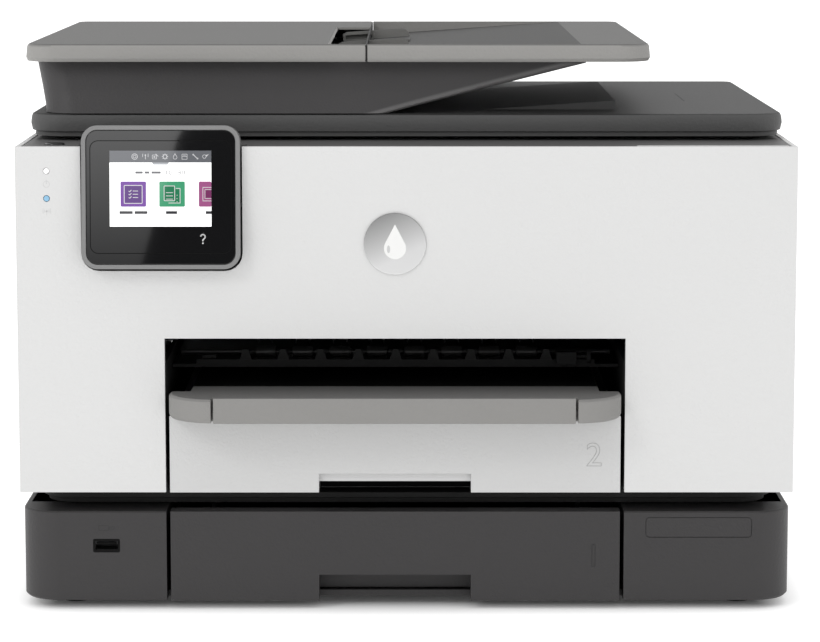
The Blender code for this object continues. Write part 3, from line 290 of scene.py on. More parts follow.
# Painted reflection: the badge colour runs from dark at its upper left to light at its lower right, standing
# in for reflected light on the metal.
low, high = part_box("badge")
tree = LOOKS["badge_metal"].node_tree
shader = tree.nodes["Principled BSDF"]
where = node(tree, "ShaderNodeTexCoord")
along = node(tree, "ShaderNodeVectorMath", operation="DOT_PRODUCT")
along.inputs[1].default_value = (0.45, 0.0, -0.9)
middle = 0.45 * (low.x + high.x) / 2 - 0.9 * (low.z + high.z) / 2
painted_reflection_sweep = node(tree, "ShaderNodeMapRange", in_From_Min=middle - 0.018, in_From_Max=middle + 0.008)
painted_reflection_blend = node(tree, "ShaderNodeMixRGB")
painted_reflection_blend.inputs["Color1"].default_value = (0.3, 0.3, 0.3, 1.0)
painted_reflection_blend.inputs["Color2"].default_value = (0.7, 0.7, 0.7, 1.0)
wire(tree, where.outputs["Object"], along.inputs[0])
wire(tree, along.outputs["Value"], painted_reflection_sweep.inputs["Value"])
wire(tree, painted_reflection_sweep.outputs["Result"], painted_reflection_blend.inputs["Fac"])
wire(tree, painted_reflection_blend.outputs["Color"], shader.inputs["Base Color"])


def display(name, colour, glow):
    made = material(name, colour, 0.04, grain_strength=0.0, amount=0.01, emission=glow, coat=0.3)
    return made


SCREEN = {
    "page": display("PageWhite", (0.9, 0.9, 0.9), 0.6),
    "bar": display("BarGrey", (0.098, 0.102, 0.112), 0.3),
    "tab": display("TabGrey", (0.28, 0.29, 0.31), 0.3),
    "ink": display("PageInk", (0.03, 0.03, 0.035), 0.2),
    "soft": display("SoftInk", (0.12, 0.12, 0.13), 0.2),
    "light": display("IconWhite", (0.5, 0.5, 0.5), 0.3),
    "faint": display("IconFaint", (0.46, 0.46, 0.47), 0.3),
    "purple": display("TilePurple", (0.12, 0.035, 0.24), 0.3),
    "purple_deep": display("TilePurpleDeep", (0.07, 0.02, 0.15), 0.25),
    "green": display("TileGreen", (0.042, 0.24, 0.125), 0.3),
    "green_deep": display("TileGreenDeep", (0.015, 0.14, 0.065), 0.25),
    "magenta": display("TileMagenta", (0.25, 0.068, 0.17), 0.3),
    "magenta_deep": display("TileMagentaDeep", (0.14, 0.025, 0.09), 0.25),
}
SLOT_OF = {row["node"]: row["material_slot"] for row in frame["record"]["subparts"]}
BODY_OF = {name: body for body, names in frame["record"]["behaviour"]["bodies"].items() for name in names}
print(len(LOOKS), "looks")


# %% [markdown]
# ## Solids with softened edges
# Each solid is copied, its triangles merged back into flat faces, and every hard edge rounded as a moulded
# or pressed edge would be.

# %% Edge softening
def finish_mesh(bm, name, look, body, sharp=35.0):
    bmesh.ops.recalc_face_normals(bm, faces=bm.faces)
    for face in bm.faces:
        face.smooth = True
    for edge in bm.edges:
        edge.smooth = not (len(edge.link_faces) == 2 and edge.calc_face_angle(0.0) > math.radians(sharp))
    mesh = bpy.data.meshes.new(name)
    bm.to_mesh(mesh)
    bm.free()
    thing = bpy.data.objects.new(name, mesh)
    scene.collection.objects.link(thing)
    mesh.materials.append(look)
    even = thing.modifiers.new("EvenNormals", "WEIGHTED_NORMAL")
    even.keep_sharp = True
    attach(thing, body)
    return thing


def soften(bm, width, segments, angle=32.0):
    edges = [e for e in bm.edges if len(e.link_faces) == 2 and e.calc_face_angle(0.0) > math.radians(angle)]
    if edges and width:
        bmesh.ops.bevel(bm, geom=edges, offset=width, affect="EDGES", segments=segments, profile=0.5,
                        material=-1, clamp_overlap=True)


def slope_edges(bm, x_from, y_below):
    """The long edges where the sloping underside of the feeder meets its front."""
    return [e for e in bm.edges if all(v.co.x > x_from and v.co.y < y_below for v in e.verts)
            and abs(e.verts[0].co.z - e.verts[1].co.z) > 0.003
            and abs(e.verts[0].co.x - e.verts[1].co.x) > 0.003]


def rounded(name, width=0.0005, segments=2, look=None, sharp=35.0):
    """A softened copy of one solid, shown in its place."""
    bm = bmesh.new()
    bm.from_mesh(frame["nodes"][name].data)
    bmesh.ops.remove_doubles(bm, verts=bm.verts, dist=0.00002 if name == "feeder_body" else 0.000004)
    bmesh.ops.dissolve_limit(bm, angle_limit=math.radians(0.7), verts=bm.verts, edges=bm.edges)
    if name == "feeder_body":
        low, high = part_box("lid")
        edges = slope_edges(bm, -0.02, low.y + 0.02)
        if edges:
            bmesh.ops.bevel(bm, geom=edges, offset=0.0046, affect="EDGES", segments=4, profile=0.5,
                material=-1, clamp_overlap=True)
        print("slope edges", len(edges))
    soften(bm, width, segments)
    slot = SLOT_OF[name]
    thing = finish_mesh(bm, name + "_shell", look or LOOKS[slot], BODY_OF[name], sharp)
    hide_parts(name)
    return thing


EDGE = {
    "front_door": 0.0007, "base_housing": 0.0006, "lower_tray": 0.0006, "upper_tray": 0.0006,
        "output_tray": 0.0008,
    "output_extension": 0.0006, "lid": 0.0005, "feeder_body": 0.0004, "feeder_cover": 0.0004,
        "input_tray": 0.0004,
    "panel_frame": 0.0008, "panel_glass": 0.0003, "rear_door": 0.0012,
    "print_carriage": 0.0006, "lid_foam": 0.0012, "usb_socket": 0.0002, "network_socket": 0.0002,
}
LOOK_OF = {"feeder_guide_front": EXTRA["guide_pale"], "feeder_guide_rear": EXTRA["guide_pale"],
    "feeder_body": EXTRA["body_dark_ridge_highlight"],
           "output_extension": EXTRA["tray_grey"], "output_tray": EXTRA["tray_grey"],
               "lid": EXTRA["lid_grey_lit"], "scanner_deck": EXTRA["deck_grey_lit"],
                   "upper_tray": EXTRA["tray_white_shaded"], "engine_base": EXTRA["inner_wall_lit"],
           "output_roller": EXTRA["satin_black"], "usb_socket": EXTRA["dark_metal"],
               "light_power": EXTRA["led_white"], "light_wireless": EXTRA["led_blue"]}
shells = {name: rounded(name, EDGE.get(name, 0.0004), look=LOOK_OF.get(name)) for name in frame["nodes"]}
print(len(shells), "softened solids")

# %% [markdown]
# ## Shape helpers
# New pieces are made of boxes, rods and flat outlines in millimetres, all placed from the boxes of the
# solids.

# %% Shape helpers
def span(name):
    low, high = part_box(name)
    return [v / MM for pair in zip(low, high) for v in pair]


def arc_plan(x0, x1, y0, y1, r, steps=6):
    points = []
    for cx, cy, start in ((x0 + r, y0 + r, 180), (x1 - r, y0 + r, 270), (x1 - r, y1 - r, 0),
        (x0 + r, y1 - r, 90)):
        for k in range(steps + 1):
            turn = math.radians(start + 90 * k / steps)
            points.append((cx + r * math.cos(turn), cy + r * math.sin(turn)))
    return points


def circle(cx, cy, r, steps=24):
    return [(cx + r * math.cos(math.tau * k / steps),
        cy + r * math.sin(math.tau * k / steps)) for k in range(steps)]


def add_plate(bm, outline, axis, low, high, hole=None):
    """A flat outline in the plane across the axis, given thickness along it. A hole has as many points."""
    def put(pair, along):
        values = list(pair)
        values.insert(axis, along)
        return bm.verts.new([v * MM for v in values])

    count = len(outline)
    rings = [[put(p, low) for p in outline], [put(p, high) for p in outline]]
    if hole is None:
        bm.faces.new(rings[0])
        bm.faces.new(rings[1][::-1])
    else:
        rings += [[put(p, high) for p in hole], [put(p, low) for p in hole]]
    pairs = [(0, 1)] if hole is None else [(0, 1), (1, 2), (2, 3), (3, 0)]
    for a, b in pairs:
        for i in range(count):
            j = (i + 1) % count
            bm.faces.new((rings[a][i], rings[a][j], rings[b][j], rings[b][i]))


def add_brick(bm, x0, x1, y0, y1, z0, z1):
    add_plate(bm, [(x0, y0), (x1, y0), (x1, y1), (x0, y1)], 2, z0, z1)


def add_rod(bm, axis, centre, radius, length, sides=20):
    across = [centre[k] for k in range(3) if k != axis]
    add_plate(bm, circle(*across, radius, sides), axis, centre[axis] - length / 2,
        centre[axis] + length / 2)


def made_of(name, look, body, bricks=(), rods=(), plates=(), width=0.0, segments=1, place=None,
    sharp=35.0):
    """One piece from boxes, rods and outlines, its hard edges rounded by width in metres."""
    bm = bmesh.new()
    for brick in bricks:
        add_brick(bm, *brick)
    for rod in rods:
        add_rod(bm, *rod)
    for plate in plates:
        add_plate(bm, *plate)
    bmesh.ops.recalc_face_normals(bm, faces=bm.faces)
    soften(bm, width, segments)
    if place is not None:
        bm.transform(place)
    return finish_mesh(bm, name, look, body, sharp)


def lettering(name, text, look, body, size, place, depth=0.0, line=0.0):
    """Raised characters: solid when depth is given, only their outline when line is given."""
    curve = bpy.data.curves.new(name, "FONT")
    curve.body = text
    curve.size = size * MM
    curve.align_x = "CENTER"
    curve.align_y = "CENTER"
    curve.resolution_u = 6
    if line:
        curve.fill_mode = "NONE"
        curve.bevel_depth = line * MM
        curve.bevel_resolution = 1
    else:
        curve.extrude = depth * MM
    thing = bpy.data.objects.new(name + "_curve", curve)
    scene.collection.objects.link(thing)
    bpy.context.view_layer.update()
    mesh = bpy.data.meshes.new_from_object(thing.evaluated_get(bpy.context.evaluated_depsgraph_get()))
    bpy.data.objects.remove(thing)
    bm = bmesh.new()
    bm.from_mesh(mesh)
    bm.transform(place)
    return finish_mesh(bm, name, look, body)


def facing_front(x, y, z):
    """Places a flat drawing so that it faces the user: its X to the right, its Y up."""
    return Matrix.Translation((x * MM, y * MM, z * MM)) @ Matrix.Rotation(math.pi / 2, 4, "X")


print("helpers ready")

# %% [markdown]
# ## Control panel
# The touch screen leans back a little. Its drawing is made flat, in the panel's own axes, and then placed.

# %% Panel seam and screen
px0, px1, py0, py1, pz0, pz1 = span("panel_frame")
LEAN = math.radians(-4.3)
px = (px0 + px1) / 2
deep = 13.0
panel = Matrix.Translation((px * MM, (py0 + (80.0 / 2) * math.sin(-LEAN)) * MM,
    (pz0 + pz1) / 2 * MM - (deep / 2) * math.sin(LEAN) * MM)) \
    @ Matrix.Rotation(LEAN, 4, "X")


def drawn(name, look, shapes, level, thick=0.06):
    """Flat shapes in the panel's plane: x right, z up, standing out of the glass by level."""
    plates = [(s[0], 1, -level, -level + thick, *s[1:]) for s in shapes]
    return made_of(name, look, "control_panel", plates=plates, place=panel)


def rect(x0, x1, z0, z1):
    return ([(x0, z0), (x1, z0), (x1, z1), (x0, z1)],)


def soft_rect(x0, x1, z0, z1, r):
    return (arc_plan(x0, x1, z0, z1, r, 4),)


def frame_line(x0, x1, z0, z1, r, t):
    return (arc_plan(x0, x1, z0, z1, r, 5), arc_plan(x0 + t, x1 - t, z0 + t, z1 - t, max(r - t, 0.05), 5))


def ring(x, z, r, t):
    return (circle(x, z, r), circle(x, z, r - t))


def stroke(x0, z0, x1, z1, t):
    along = Vector((x1 - x0, z1 - z0)).normalized()
    side = Vector((-along.y, along.x)) * t / 2
    return ([(x0 + side.x, z0 + side.y), (x1 + side.x, z1 + side.y), (x1 - side.x, z1 - side.y),
        (x0 - side.x, z0 - side.y)],)


SL, SR, SB, ST = -28.3, 28.3, -16.2, 26.0
drawn("PanelSeam", EXTRA["deep"], [frame_line(-39.4, 39.7, -31.4, 31.7, 4.6, 0.4)], 0.0, 0.12)
drawn("ScreenPage", SCREEN["page"], [rect(SL, SR, SB, ST)], 0.01, 0.1)
drawn("ScreenBar", SCREEN["bar"], [rect(SL, SR, ST - 6.6, ST)], 0.03)
drawn("ScreenTab", SCREEN["tab"], [([(-4.6, ST - 6.6), (-4.0, ST - 7.8), (4.0, ST - 7.8), (4.6,
    ST - 6.6)],)], 0.03)
icons = []
iz = ST - 3.3
for k, x in enumerate((-14.3, -8.3, -2.9, 2.6, 8.2, 13.5, 19.5, 25.1)):
    if k == 0:
        icons += [ring(x, iz, 1.7, 0.3), ring(x, iz, 0.9, 0.25)]
    elif k == 1:
        icons += [rect(x - 0.15, x + 0.15, iz - 1.5, iz + 0.6), (circle(x, iz + 0.8, 0.4, 10),),
            stroke(x - 1.5, iz - 0.2, x - 1.5, iz + 1.6, 0.25),
                  stroke(x + 1.5, iz - 0.2, x + 1.5, iz + 1.6, 0.25)]
    elif k == 2:
        icons += [frame_line(x - 1.7, x + 0.9, iz - 1.4, iz + 1.0, 0.3, 0.25),
            stroke(x + 0.2, iz + 1.5, x + 1.8, iz + 0.1, 0.3), rect(x - 0.9, x + 0.1, iz - 0.5, iz + 0.1)]
    elif k == 3:
        icons += [ring(x, iz, 1.2, 0.3)] + [stroke(x + 1.2 * math.cos(a), iz + 1.2 * math.sin(a),
            x + 1.7 * math.cos(a), iz + 1.7 * math.sin(a), 0.35)
                                           for a in [math.tau * q / 8 for q in range(8)]]
    elif k == 4:
        icons += [([(x, iz + 1.9), (x - 1.1, iz), (x - 1.15, iz - 0.7), (x - 0.6, iz - 1.5),
            (x + 0.6, iz - 1.5), (x + 1.15, iz - 0.7), (x + 1.1, iz)],
                   [(x, iz + 1.3), (x - 0.85, iz - 0.1), (x - 0.9, iz - 0.6), (x - 0.5, iz - 1.25),
                       (x + 0.5, iz - 1.25), (x + 0.9, iz - 0.6), (x + 0.85, iz - 0.1)])]
    elif k == 5:
        icons += [frame_line(x - 1.6, x + 1.5, iz - 1.6, iz + 1.5, 0.3, 0.25),
            rect(x - 1.6, x + 1.5, iz - 0.1, iz + 0.15), rect(x - 0.9, x + 0.6, iz + 0.6, iz + 0.8)]
    elif k == 6:
        icons += [stroke(x - 1.2, iz + 1.1, x + 1.2, iz - 1.2, 0.4),
            (circle(x - 1.2, iz + 1.1, 0.45, 10),), (circle(x + 1.2, iz - 1.1, 0.45, 10),)]
    else:
        icons += [ring(x - 0.6, iz, 1.1, 0.25),
            ([(x, iz - 0.6), (x + 1.9, iz + 1.3), (x + 0.4, iz + 0.9)],)]
drawn("ScreenIcons", SCREEN["faint"], icons, 0.04)


def words(x, z, widths, height, gap=0.8):
    """Short bars that stand for words."""
    shapes = []
    for width in widths:
        shapes.append(rect(x, x + width, z, z + height))
        x += width + gap
    return shapes


drawn("ScreenText", SCREEN["ink"], words(-22.9, -9.2, (7.4, 7.2), 1.6, 1.0) + words(3.0, -9.2, (6.2,),
    1.6) + words(25.1, -9.2, (3.2,), 1.6), 0.03)
clock = words(-14.0, 13.2, (4.2, 2.6, 5.2), 1.3, 1.1)
for x in (4.6, 9.7, 12.0):
    if x == 9.7:
        clock += [rect(x, x + 1.5, z, z + 0.35) for z in (12.7, 13.7, 14.65)] + [rect(x + 1.2, x + 1.55,
            12.7, 15.0)]
    else:
        clock.append(frame_line(x + 0.2, x + 1.6, 12.7, 15.0, 0.5, 0.36))
clock += [rect(3.2, 3.6, 12.7, 15.0), rect(7.6, 8.0, 13.1, 13.5), rect(7.6, 8.0, 14.2, 14.6)]
drawn("ScreenDate", SCREEN["soft"], clock, 0.03)
for k, (x0, x1, tile) in enumerate(((-22.3, -8.0, "purple"), (-0.7, 13.6, "green"), (21.3, SR, "magenta"))):
    drawn(f"Tile{k}", SCREEN[tile], [soft_rect(x0, x1, -5.2, 8.9, 0.7)], 0.03)
drawn("TileInner0", SCREEN["purple_deep"], [rect(-20.0, -10.4, -3.1, 6.5)], 0.04)
drawn("TileInner1", SCREEN["green_deep"], [rect(2.1, 7.8, -1.6, 6.2), rect(7.8, 10.9, -2.8, 4.6)], 0.04)
drawn("TileInner2", SCREEN["magenta_deep"], [rect(24.9, SR, -0.4, 4.2)], 0.04)
marks = [frame_line(-20.4, -10.0, -3.5, 6.9, 0.6, 0.4), frame_line(1.8, 8.1, -2.0, 6.6, 0.5, 0.4),
    rect(10.7, 11.1, -3.2, 5.0), rect(4.4, 11.1, -3.3, -2.9),
         rect(8.6, 11.1, 4.8, 5.2), rect(23.4, 23.75, -2.1, 5.7), rect(23.4, SR, 5.4, 5.75),
             rect(23.4, SR, -2.1, -1.75), rect(24.6, 24.9, -0.7, 4.5),
         rect(24.6, SR, 4.2, 4.5), rect(24.6, SR, -0.7, -0.4)]
for z in (3.4, 1.6, -0.2):
    marks += [rect(-15.4, -12.5, z, z + 0.35), stroke(-17.7, z + 0.2, -17.1, z - 0.3, 0.4),
        stroke(-17.1, z - 0.3, -16.2, z + 0.8, 0.4)]
    marks += [rect(3.0, 6.9, z - 0.9, z - 0.55)]
    marks += [(circle(9.2, z - 2.2, 0.25, 8),)]
drawn("TileMarks", SCREEN["light"], marks, 0.05)
hook = [(23.5 + 1.25 * math.cos(math.radians(a)),
    -21.9 + 1.25 * math.sin(math.radians(a))) for a in range(175, -61, -20)]
hook += [(23.5, -23.6), (23.5, -24.4)]
help_key = [stroke(*a, *b, 0.72) for a, b in zip(hook, hook[1:])]
help_key += [(circle(x, z, 0.36, 12),) for x, z in hook[1:-1]] + [(circle(23.5, -25.5, 0.45, 14),)]
drawn("HelpKey", SCREEN["light"], help_key, 0.04)
print("screen", len(icons), "icon shapes")

# %% [markdown]
# ## Front details
# Status lights and their pictograms, a plain metal badge with a painted reflection and an ink drop, raised
# tray numbers, a blank name plate, and the front socket.

# %% Door marks
dx0, dx1, dy0, dy1, dz0, dz1 = span("front_door")
lx = sum(span("light_power")[:2]) / 2
lz = sum(span("light_power")[4:]) / 2
wz = sum(span("light_wireless")[4:]) / 2
front = dy0
made_of("DoorGlyphs", EXTRA["print_grey"], "front_door", plates=[
    (circle(lx, lz - 7.4, 1.9), 1, front - 0.04, front + 0.05, circle(lx, lz - 7.4, 1.6)),
    ([(lx - 0.2, lz - 7.3), (lx + 0.2, lz - 7.3), (lx + 0.2, lz - 5.0), (lx - 0.2, lz - 5.0)], 1,
        front - 0.05, front + 0.05),
    (circle(lx, wz - 7.0, 0.55, 12), 1, front - 0.04, front + 0.05),
    ([(lx - 0.15, wz - 9.4), (lx + 0.15, wz - 9.4), (lx + 0.15, wz - 7.0), (lx - 0.15, wz - 7.0)], 1,
        front - 0.04, front + 0.05),
] + [([(lx + s * r, wz - 7.0 - r * 0.8), (lx + s * (r + 0.3), wz - 7.0 - r * 0.8),
    (lx + s * (r + 0.3), wz - 7.0 + r * 0.8), (lx + s * r, wz - 7.0 + r * 0.8)],
      1, front - 0.04, front + 0.05) for s in (-1, 1) for r in (1.1, 1.9)])
bx0, bx1, by0, by1, bz0, bz1 = span("badge")
bx, bz = (bx0 + bx1) / 2, (bz0 + bz1) / 2
drop = []
for k in range(25):
    a = math.radians(150 + 240 * k / 24)
    drop.append((bx + 6.2 * math.cos(a), bz - 2.4 + 6.2 * math.sin(a)))
drop.append((bx, bz + 11.0))
made_of("BadgeDrop", EXTRA["label"], "front_door", plates=[(drop, 1, by0 - 0.12, by0 + 0.1)], width=0.00005)
made_of("BadgeShine", EXTRA["print_grey"], "front_door", plates=[
    ([(bx - 3.6 + 0.9 * math.cos(a),
        bz - 3.0 + 2.2 * math.sin(a)) for a in [math.tau * k / 16 for k in range(16)]], 1, by0 - 0.16,
            by0 - 0.1)])
tray1, tray2 = span("lower_tray"), span("upper_tray")
lettering("TrayNumberOne", "1", EXTRA["relief_dark"], "lower_tray", 18.6,
    facing_front(tray1[1] - 14.8, tray1[2] - 0.02, 30.4), line=0.16)
lettering("TrayNumberTwo", "2", EXTRA["relief_shade"], "upper_tray", 19.0,
    facing_front(tray2[1] - 14.9, tray2[2] - 0.02, 88.4), line=0.14)
base = span("base_housing")
plate = (tray1[1] + 2.35 + 12.5, base[1] - 23.1, base[4] + 36.8, base[4] + 47.9)
made_of("NamePlate", LOOKS["dark_shell"], "chassis", plates=[
    (arc_plan(plate[0], plate[1], plate[2], plate[3], 1.8, 3), 1, base[2] + 0.15, base[2] + 0.55)],
        width=0.00012)
usb = span("usb_socket")
ux, uz = (usb[0] + usb[1]) / 2, (usb[4] + usb[5]) / 2
made_of("UsbTongue", EXTRA["deep"], "chassis",
    bricks=[(ux - 5.6, ux + 5.6, usb[2] + 0.6, usb[2] + 9, uz + 0.35, uz + 1.9)], width=0.0002)
made_of("UsbFrame", EXTRA["deep"], "chassis", plates=[
    (arc_plan(ux - 7.6, ux + 7.6, uz - 3.9, uz + 3.9, 0.8, 3), 1, base[2] - 0.05, base[2] + 0.5,
        arc_plan(ux - 6.4, ux + 6.4, uz - 2.7, uz + 2.7, 0.4, 3))])
made_of("SocketGlyph", EXTRA["relief_dark"], "chassis", plates=[
    (arc_plan(ux - 4.4, ux + 1.6, uz + 8.6, uz + 11.8, 0.6, 3), 1, base[2] - 0.05, base[2] + 0.1,
        arc_plan(ux - 4.0, ux + 1.2, uz + 9.0, uz + 11.4, 0.4, 3)),
    (arc_plan(ux + 1.6, ux + 4.6, uz + 9.4, uz + 11.0, 0.2, 3), 1, base[2] - 0.05, base[2] + 0.1,
        arc_plan(ux + 1.9, ux + 4.3, uz + 9.7, uz + 10.7, 0.15, 3)),
])
print("front details")

# %% Notch, output tray and exit rollers
tm = (tray2[0] + tray2[1]) / 2
z_notch = tray2[4] + 10.9
# Black sheets in the tray 2 notch, behind the lip and below it: painted shade inside the notch.
made_of("NotchShade", EXTRA["deep"], "upper_tray", bricks=[
    (tm - 42.9, tm + 42.9, tray2[2] + 17.2, tray2[2] + 17.45, tray2[4] + 0.2, z_notch - 4.9),
    (tm - 42.9, tm + 42.9, tray2[2] + 3.2, tray2[2] + 17.4, z_notch - 5.0, z_notch - 4.85),
])
made_of("NotchFloorShade", EXTRA["deep"], "chassis",
    bricks=[(tm - 42.9, tm + 42.9, tray2[2] + 1.0, tray2[2] + 17.0, tray2[4] - 0.25, tray2[4] - 0.12)])
made_of("NotchLine", EXTRA["print_grey"], "upper_tray",
    bricks=[(tm - 42.9, tm + 42.9, tray2[2] + 2.94, tray2[2] + 3.05, z_notch - 3.4, z_notch - 2.7)])
out = span("output_tray")
made_of("OutputLiner", EXTRA["deep"], "upper_tray",
    bricks=[(out[0] + 12.2, out[1] - 12.2, out[2] + 48.5, out[2] + 139, out[5] - 0.1, out[5] + 0.12)])
roller = span("output_roller")
rc = ((roller[0] + roller[1]) / 2, (roller[2] + roller[3]) / 2, (roller[4] + roller[5]) / 2)
platen = span("platen")
ribs_x = [-6.25 + 21.8 * k for k in range(-4, 5)]
wheels = [(0, (x + s * 4, rc[1] + 1.0, rc[2] + 8.6), 3.6, 0.8,
    16) for x in [ribs_x[k] + 10.9 for k in range(8)] for s in (-1, 1)]
made_of("StarWheels", EXTRA["satin_black"], "chassis",
    rods=wheels + [(0, (0, rc[1] + 1.0, rc[2] + 8.6), 0.9, roller[1] - roller[0] - 4, 10)], width=0.0001)
made_of("RollerBearings", LOOKS["rubber"], "chassis", bricks=[
    (86.8, 98.6, platen[2] - 4.5, platen[2] + 2, platen[4] + 1.9, platen[4] + 9.2),
], rods=[(0, (101.5, platen[2] - 1.5, platen[4] + 6.4), 1.1, 8, 10),
    (0, (105.6, platen[2] - 1.5, platen[4] + 6.6), 4.0, 2.4, 18),
         (0, (-114.5, platen[2] - 1.5, platen[4] + 6.4), 1.1, 8, 10)], width=0.0003)
print("exit rollers", len(wheels), "wheels")

# %% Deck edge and lid groove
deck = span("scanner_deck")
made_of("DeckLedge", LOOKS["white_shell"], "chassis",
        bricks=[(dx1 - 89.5, dx1 - 4.2, dy1 + 0.4, dy1 + 3.2, deck[5] - 0.4, dz1 - 0.1)], width=0.0003)
lid = span("lid")
made_of("LidGroove", EXTRA["seam"], "lid",
    bricks=[(167.6, 168.3, lid[2] + 114, lid[2] + 182, lid[4] + 12.5, lid[4] + 12.86)])
tray = span("input_tray")
cover = span("feeder_cover")
made_of("FeederSeam", EXTRA["seam"], "feeder_cover", bricks=[
    (cover[1] - 0.2, cover[1] + 0.72, cover[2] + 0.7, cover[3] - 0.8, cover[4] + 0.5, cover[5] - 0.5)])
body = span("feeder_body")
rise = (tray[5] - tray[4] - 1.6) / 124.3
slope_at = lambda x: tray[4] + 1.6 + (x - tray[0]) * rise
x0, x1 = tray[0] + 0.6, tray[0] + 122.0
# A thin sheet over the feeder tray's sloping floor, darker than the tray: painted shade on the floor.
made_of("FeederShadeLiner", EXTRA["guide_pale"], "input_tray", plates=[
    ([(x0, slope_at(x0) - 0.3), (x1, slope_at(x1) - 0.3), (x1, slope_at(x1) + 0.05),
        (x0, slope_at(x0) + 0.05)], 1, tray[2] + 5.0, tray[3] - 8.0)])
made_of("FeederMark", EXTRA["seam"], "input_tray", plates=[
    ([(22.0, slope_at(22.0) - 0.2), (22.8, slope_at(22.8) - 0.2), (22.8, slope_at(22.8) + 0.1),
        (22.0, slope_at(22.0) + 0.1)],
     1, tray[2] + 6.0, tray[2] + 118)])
print("lid details")

# %% Print engine details
carriage, rail = span("print_carriage"), span("carriage_rail")
cx, top = (carriage[0] + carriage[1]) / 2, rail[5]
made_of("CarriageBelt", EXTRA["belt"], "chassis", bricks=[
    (rail[0] + 9, rail[1] - 9, rail[2] + 5.6, rail[2] + 6.6, top + 3, top + 8),
    (rail[0] + 9, rail[1] - 9, rail[2] + 13.4, rail[2] + 14.4, top + 3, top + 8),
])
made_of("BeltPulleys", EXTRA["gear"], "chassis", rods=[
    (2, (x, rail[2] + 10, top + 5.1), 3.3, 9.4, 18) for x in (rail[0] + 9, rail[1] - 9)], width=0.0003)
made_of("EncoderStrip", EXTRA["strip"], "chassis",
    bricks=[(rail[0] + 6, rail[1] - 6, rail[2] + 2.6, rail[2] + 2.8, top + 10, top + 16)])
made_of("EncoderPosts", EXTRA["gear"], "chassis",
    bricks=[(x - 2, x + 2, rail[2] + 1.4, rail[2] + 4, top - 0.2, top + 17) for x in (rail[0] + 5,
        rail[1] - 5)], width=0.0003)
made_of("BeltClip", LOOKS["inner_black"], BODY_OF["print_carriage"],
    bricks=[(cx - 9, cx + 9, carriage[3] - 3, carriage[3] + 7.6, top + 2.2, top + 9)], width=0.0004)
for colour in ("black", "cyan", "magenta", "yellow"):
    ink = span(f"cartridge_{colour}")
    made_of(f"Label_{colour}", EXTRA["label"], BODY_OF[f"cartridge_{colour}"], bricks=[
        (ink[0] + 3.5, ink[1] - 3.5, ink[2] - 0.12, ink[2] + 0.1, ink[4] + 14, ink[5] - 15)])
scan = span("scan_carriage")
made_of("ScanLamp", EXTRA["lamp"], BODY_OF["scan_carriage"], bricks=[
    ((scan[0] + scan[1]) / 2 - 1.4, (scan[0] + scan[1]) / 2 + 1.4, scan[2] + 9, scan[3] - 9,
        scan[5] - 0.2, scan[5] + 0.12)])
print("print engine details")

# %% Back details
back = span("rear_cover")
spots = [(x, z) for z in (back[4] + 9, back[5] - 12) for x in (back[0] + 9, back[1] - 9)]
made_of("RearScrews", LOOKS["steel"], "chassis",
    rods=[(1, (x, back[3] + 0.1, z), 3.0, 1.2, 20) for x, z in spots], width=0.0003)
made_of("ScrewSlots", EXTRA["deep"], "chassis", bricks=[
    (x - a, x + a, back[3] + 0.6, back[3] + 0.74, z - b, z + b) for x, z in spots for a,
        b in ((1.9, 0.35), (0.35, 1.9))])
made_of("BlankPlate", LOOKS["guide_grey"], "chassis", plates=[
    (arc_plan(back[0] + 24, back[0] + 66, back[4] + 58, back[4] + 84, 2.5), 1, back[3] - 0.1,
        back[3] + 0.15)])
print("back details")

# %% [markdown]
# ## Floor, light and camera
# A pale seamless floor, one broad soft light from the upper left and an even surround.

# %% Stage
def card(name, corners, look, **visible):
    mesh = bpy.data.meshes.new(name)
    mesh.from_pydata(corners, [], [tuple(range(len(corners)))])
    thing = bpy.data.objects.new(name, mesh)
    scene.collection.objects.link(thing)
    mesh.materials.append(look)
    for key, value in visible.items():
        setattr(thing, key, value)
    return thing


# Painted contact shadow: the floor's glow fades out close to the printer's base, so the floor darkens around
# and under it.
floor_look_contact_shadow = material("Floor", (0.8, 0.8, 0.8), 0.8, grain_strength=0.0, amount=0.0, emission=0.6,
    specular=0.0)
tree = floor_look_contact_shadow.node_tree
where = node(tree, "ShaderNodeTexCoord")
apart = node(tree, "ShaderNodeVectorMath", operation="ABSOLUTE")
inner = node(tree, "ShaderNodeVectorMath", operation="SUBTRACT")
inner.inputs[1].default_value = (0.2, 0.162, 0.0)
outer = node(tree, "ShaderNodeVectorMath", operation="MAXIMUM")
shifted = node(tree, "ShaderNodeVectorMath", operation="SUBTRACT")
shifted.inputs[1].default_value = (0.0, (base[2] + base[3]) / 2 * MM, 0.0)
contact_shadow_distance = node(tree, "ShaderNodeVectorMath", operation="LENGTH")
contact_shadow_fade = node(tree, "ShaderNodeMapRange", in_From_Min=-0.002, in_From_Max=0.032, in_To_Min=0.0, in_To_Max=0.7)
wire(tree, where.outputs["Object"], shifted.inputs[0])
wire(tree, shifted.outputs[0], apart.inputs[0])
wire(tree, apart.outputs[0], inner.inputs[0])
wire(tree, inner.outputs[0], outer.inputs[0])
wire(tree, outer.outputs[0], contact_shadow_distance.inputs[0])
wire(tree, contact_shadow_distance.outputs["Value"], contact_shadow_fade.inputs["Value"])
wire(tree, contact_shadow_fade.outputs["Result"], tree.nodes["Principled BSDF"].inputs["Emission Strength"])
card("Floor", [(-30, -30, 0), (30, -30, 0), (30, 30, 0), (-30, 30, 0)], floor_look_contact_shadow)

world = bpy.data.worlds.new("Surround")
scene.world = world
world.use_nodes = True
world.node_tree.nodes["Background"].inputs["Color"].default_value = (1.0, 1.0, 1.0, 1.0)
world.node_tree.nodes["Background"].inputs["Strength"].default_value = 1.0


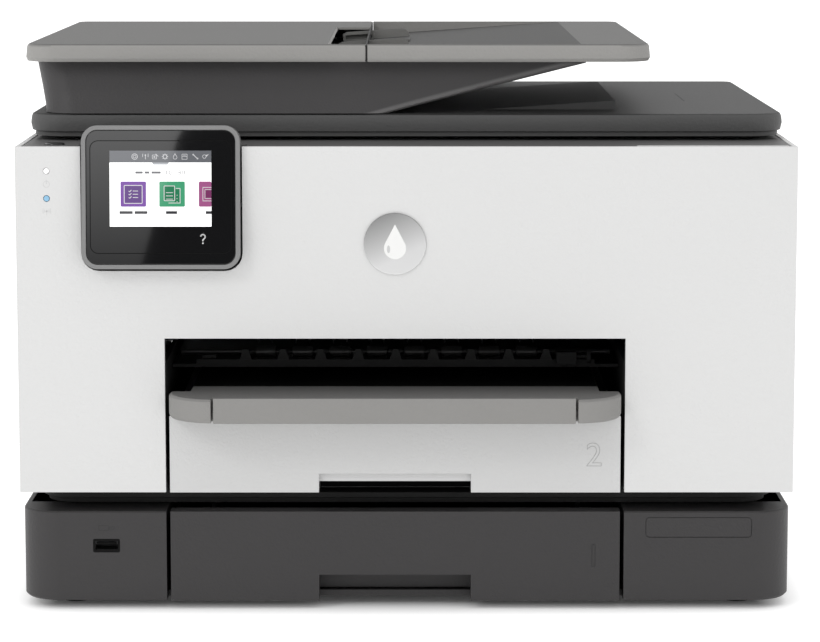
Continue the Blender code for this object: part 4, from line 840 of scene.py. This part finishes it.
def glow(name, low, high, bottom, top):
    """A card that shines from low at its bottom edge to high at its top edge."""
    made = bpy.data.materials.new(name)
    made.use_nodes = True
    tree = made.node_tree
    tree.nodes.remove(tree.nodes["Principled BSDF"])
    place = node(tree, "ShaderNodeTexCoord")
    split = node(tree, "ShaderNodeSeparateXYZ")
    ramp = node(tree, "ShaderNodeMapRange", in_From_Min=bottom, in_From_Max=top, in_To_Min=low,
        in_To_Max=high)
    shine = node(tree, "ShaderNodeEmission")
    wire(tree, place.outputs["Object"], split.inputs[0])
    wire(tree, split.outputs["Z"], ramp.inputs["Value"])
    wire(tree, ramp.outputs["Result"], shine.inputs["Strength"])
    wire(tree, shine.outputs[0], tree.nodes["Material Output"].inputs["Surface"])
    return made


seen = dict(visible_camera=False, visible_diffuse=False, visible_shadow=False, visible_transmission=False,
    visible_volume_scatter=False)
card("ReflectedDark", [(-0.9, -1.66, 0.1), (0.9, -1.66, 0.1), (0.9, -1.66, 0.75), (-0.9, -1.66, 0.75)],
    glow("DarkReflection", 0.1, 0.1, 0, 1), **seen)
card("ReflectedSoftbox", [(-0.5, -1.6, 0.16), (-0.291, -1.6, 0.16), (-0.206, -1.6, 0.45),
    (-0.5, -1.6, 0.45)],
     glow("SoftboxReflection", 0.55, 2.4, 0.23, 0.39), **seen)


def area(name, spot, target, size, power):
    light = bpy.data.lights.new(name, "AREA")
    light.shape = "RECTANGLE"
    light.size, light.size_y = size
    light.energy = power
    lamp = bpy.data.objects.new(name, light)
    scene.collection.objects.link(lamp)
    lamp.location = spot
    lamp.rotation_mode = "QUATERNION"
    lamp.rotation_quaternion = (Vector(target) - Vector(spot)).to_track_quat("-Z", "Y")
    return lamp


area("Key", (-1.5, -1.7, 1.6), (0.0, 0.0, 0.15), (0.7, 0.7), 9)

# %% Camera
camera = bpy.data.objects.new("Camera", bpy.data.cameras.new("Camera"))
scene.collection.objects.link(camera)
camera.data.sensor_fit = "HORIZONTAL"
camera.data.sensor_width = 36.0
camera.data.lens = 140.5
camera.data.clip_end = 100.0
camera.location = (0.002, -1.950, 0.4092)
camera.rotation_euler = (math.radians(90 - 7.8), 0.0, 0.0)
scene.camera = camera
scene.view_settings.view_transform = "Standard"
scene.view_settings.look = "None"
print("camera", tuple(round(v, 3) for v in camera.location))
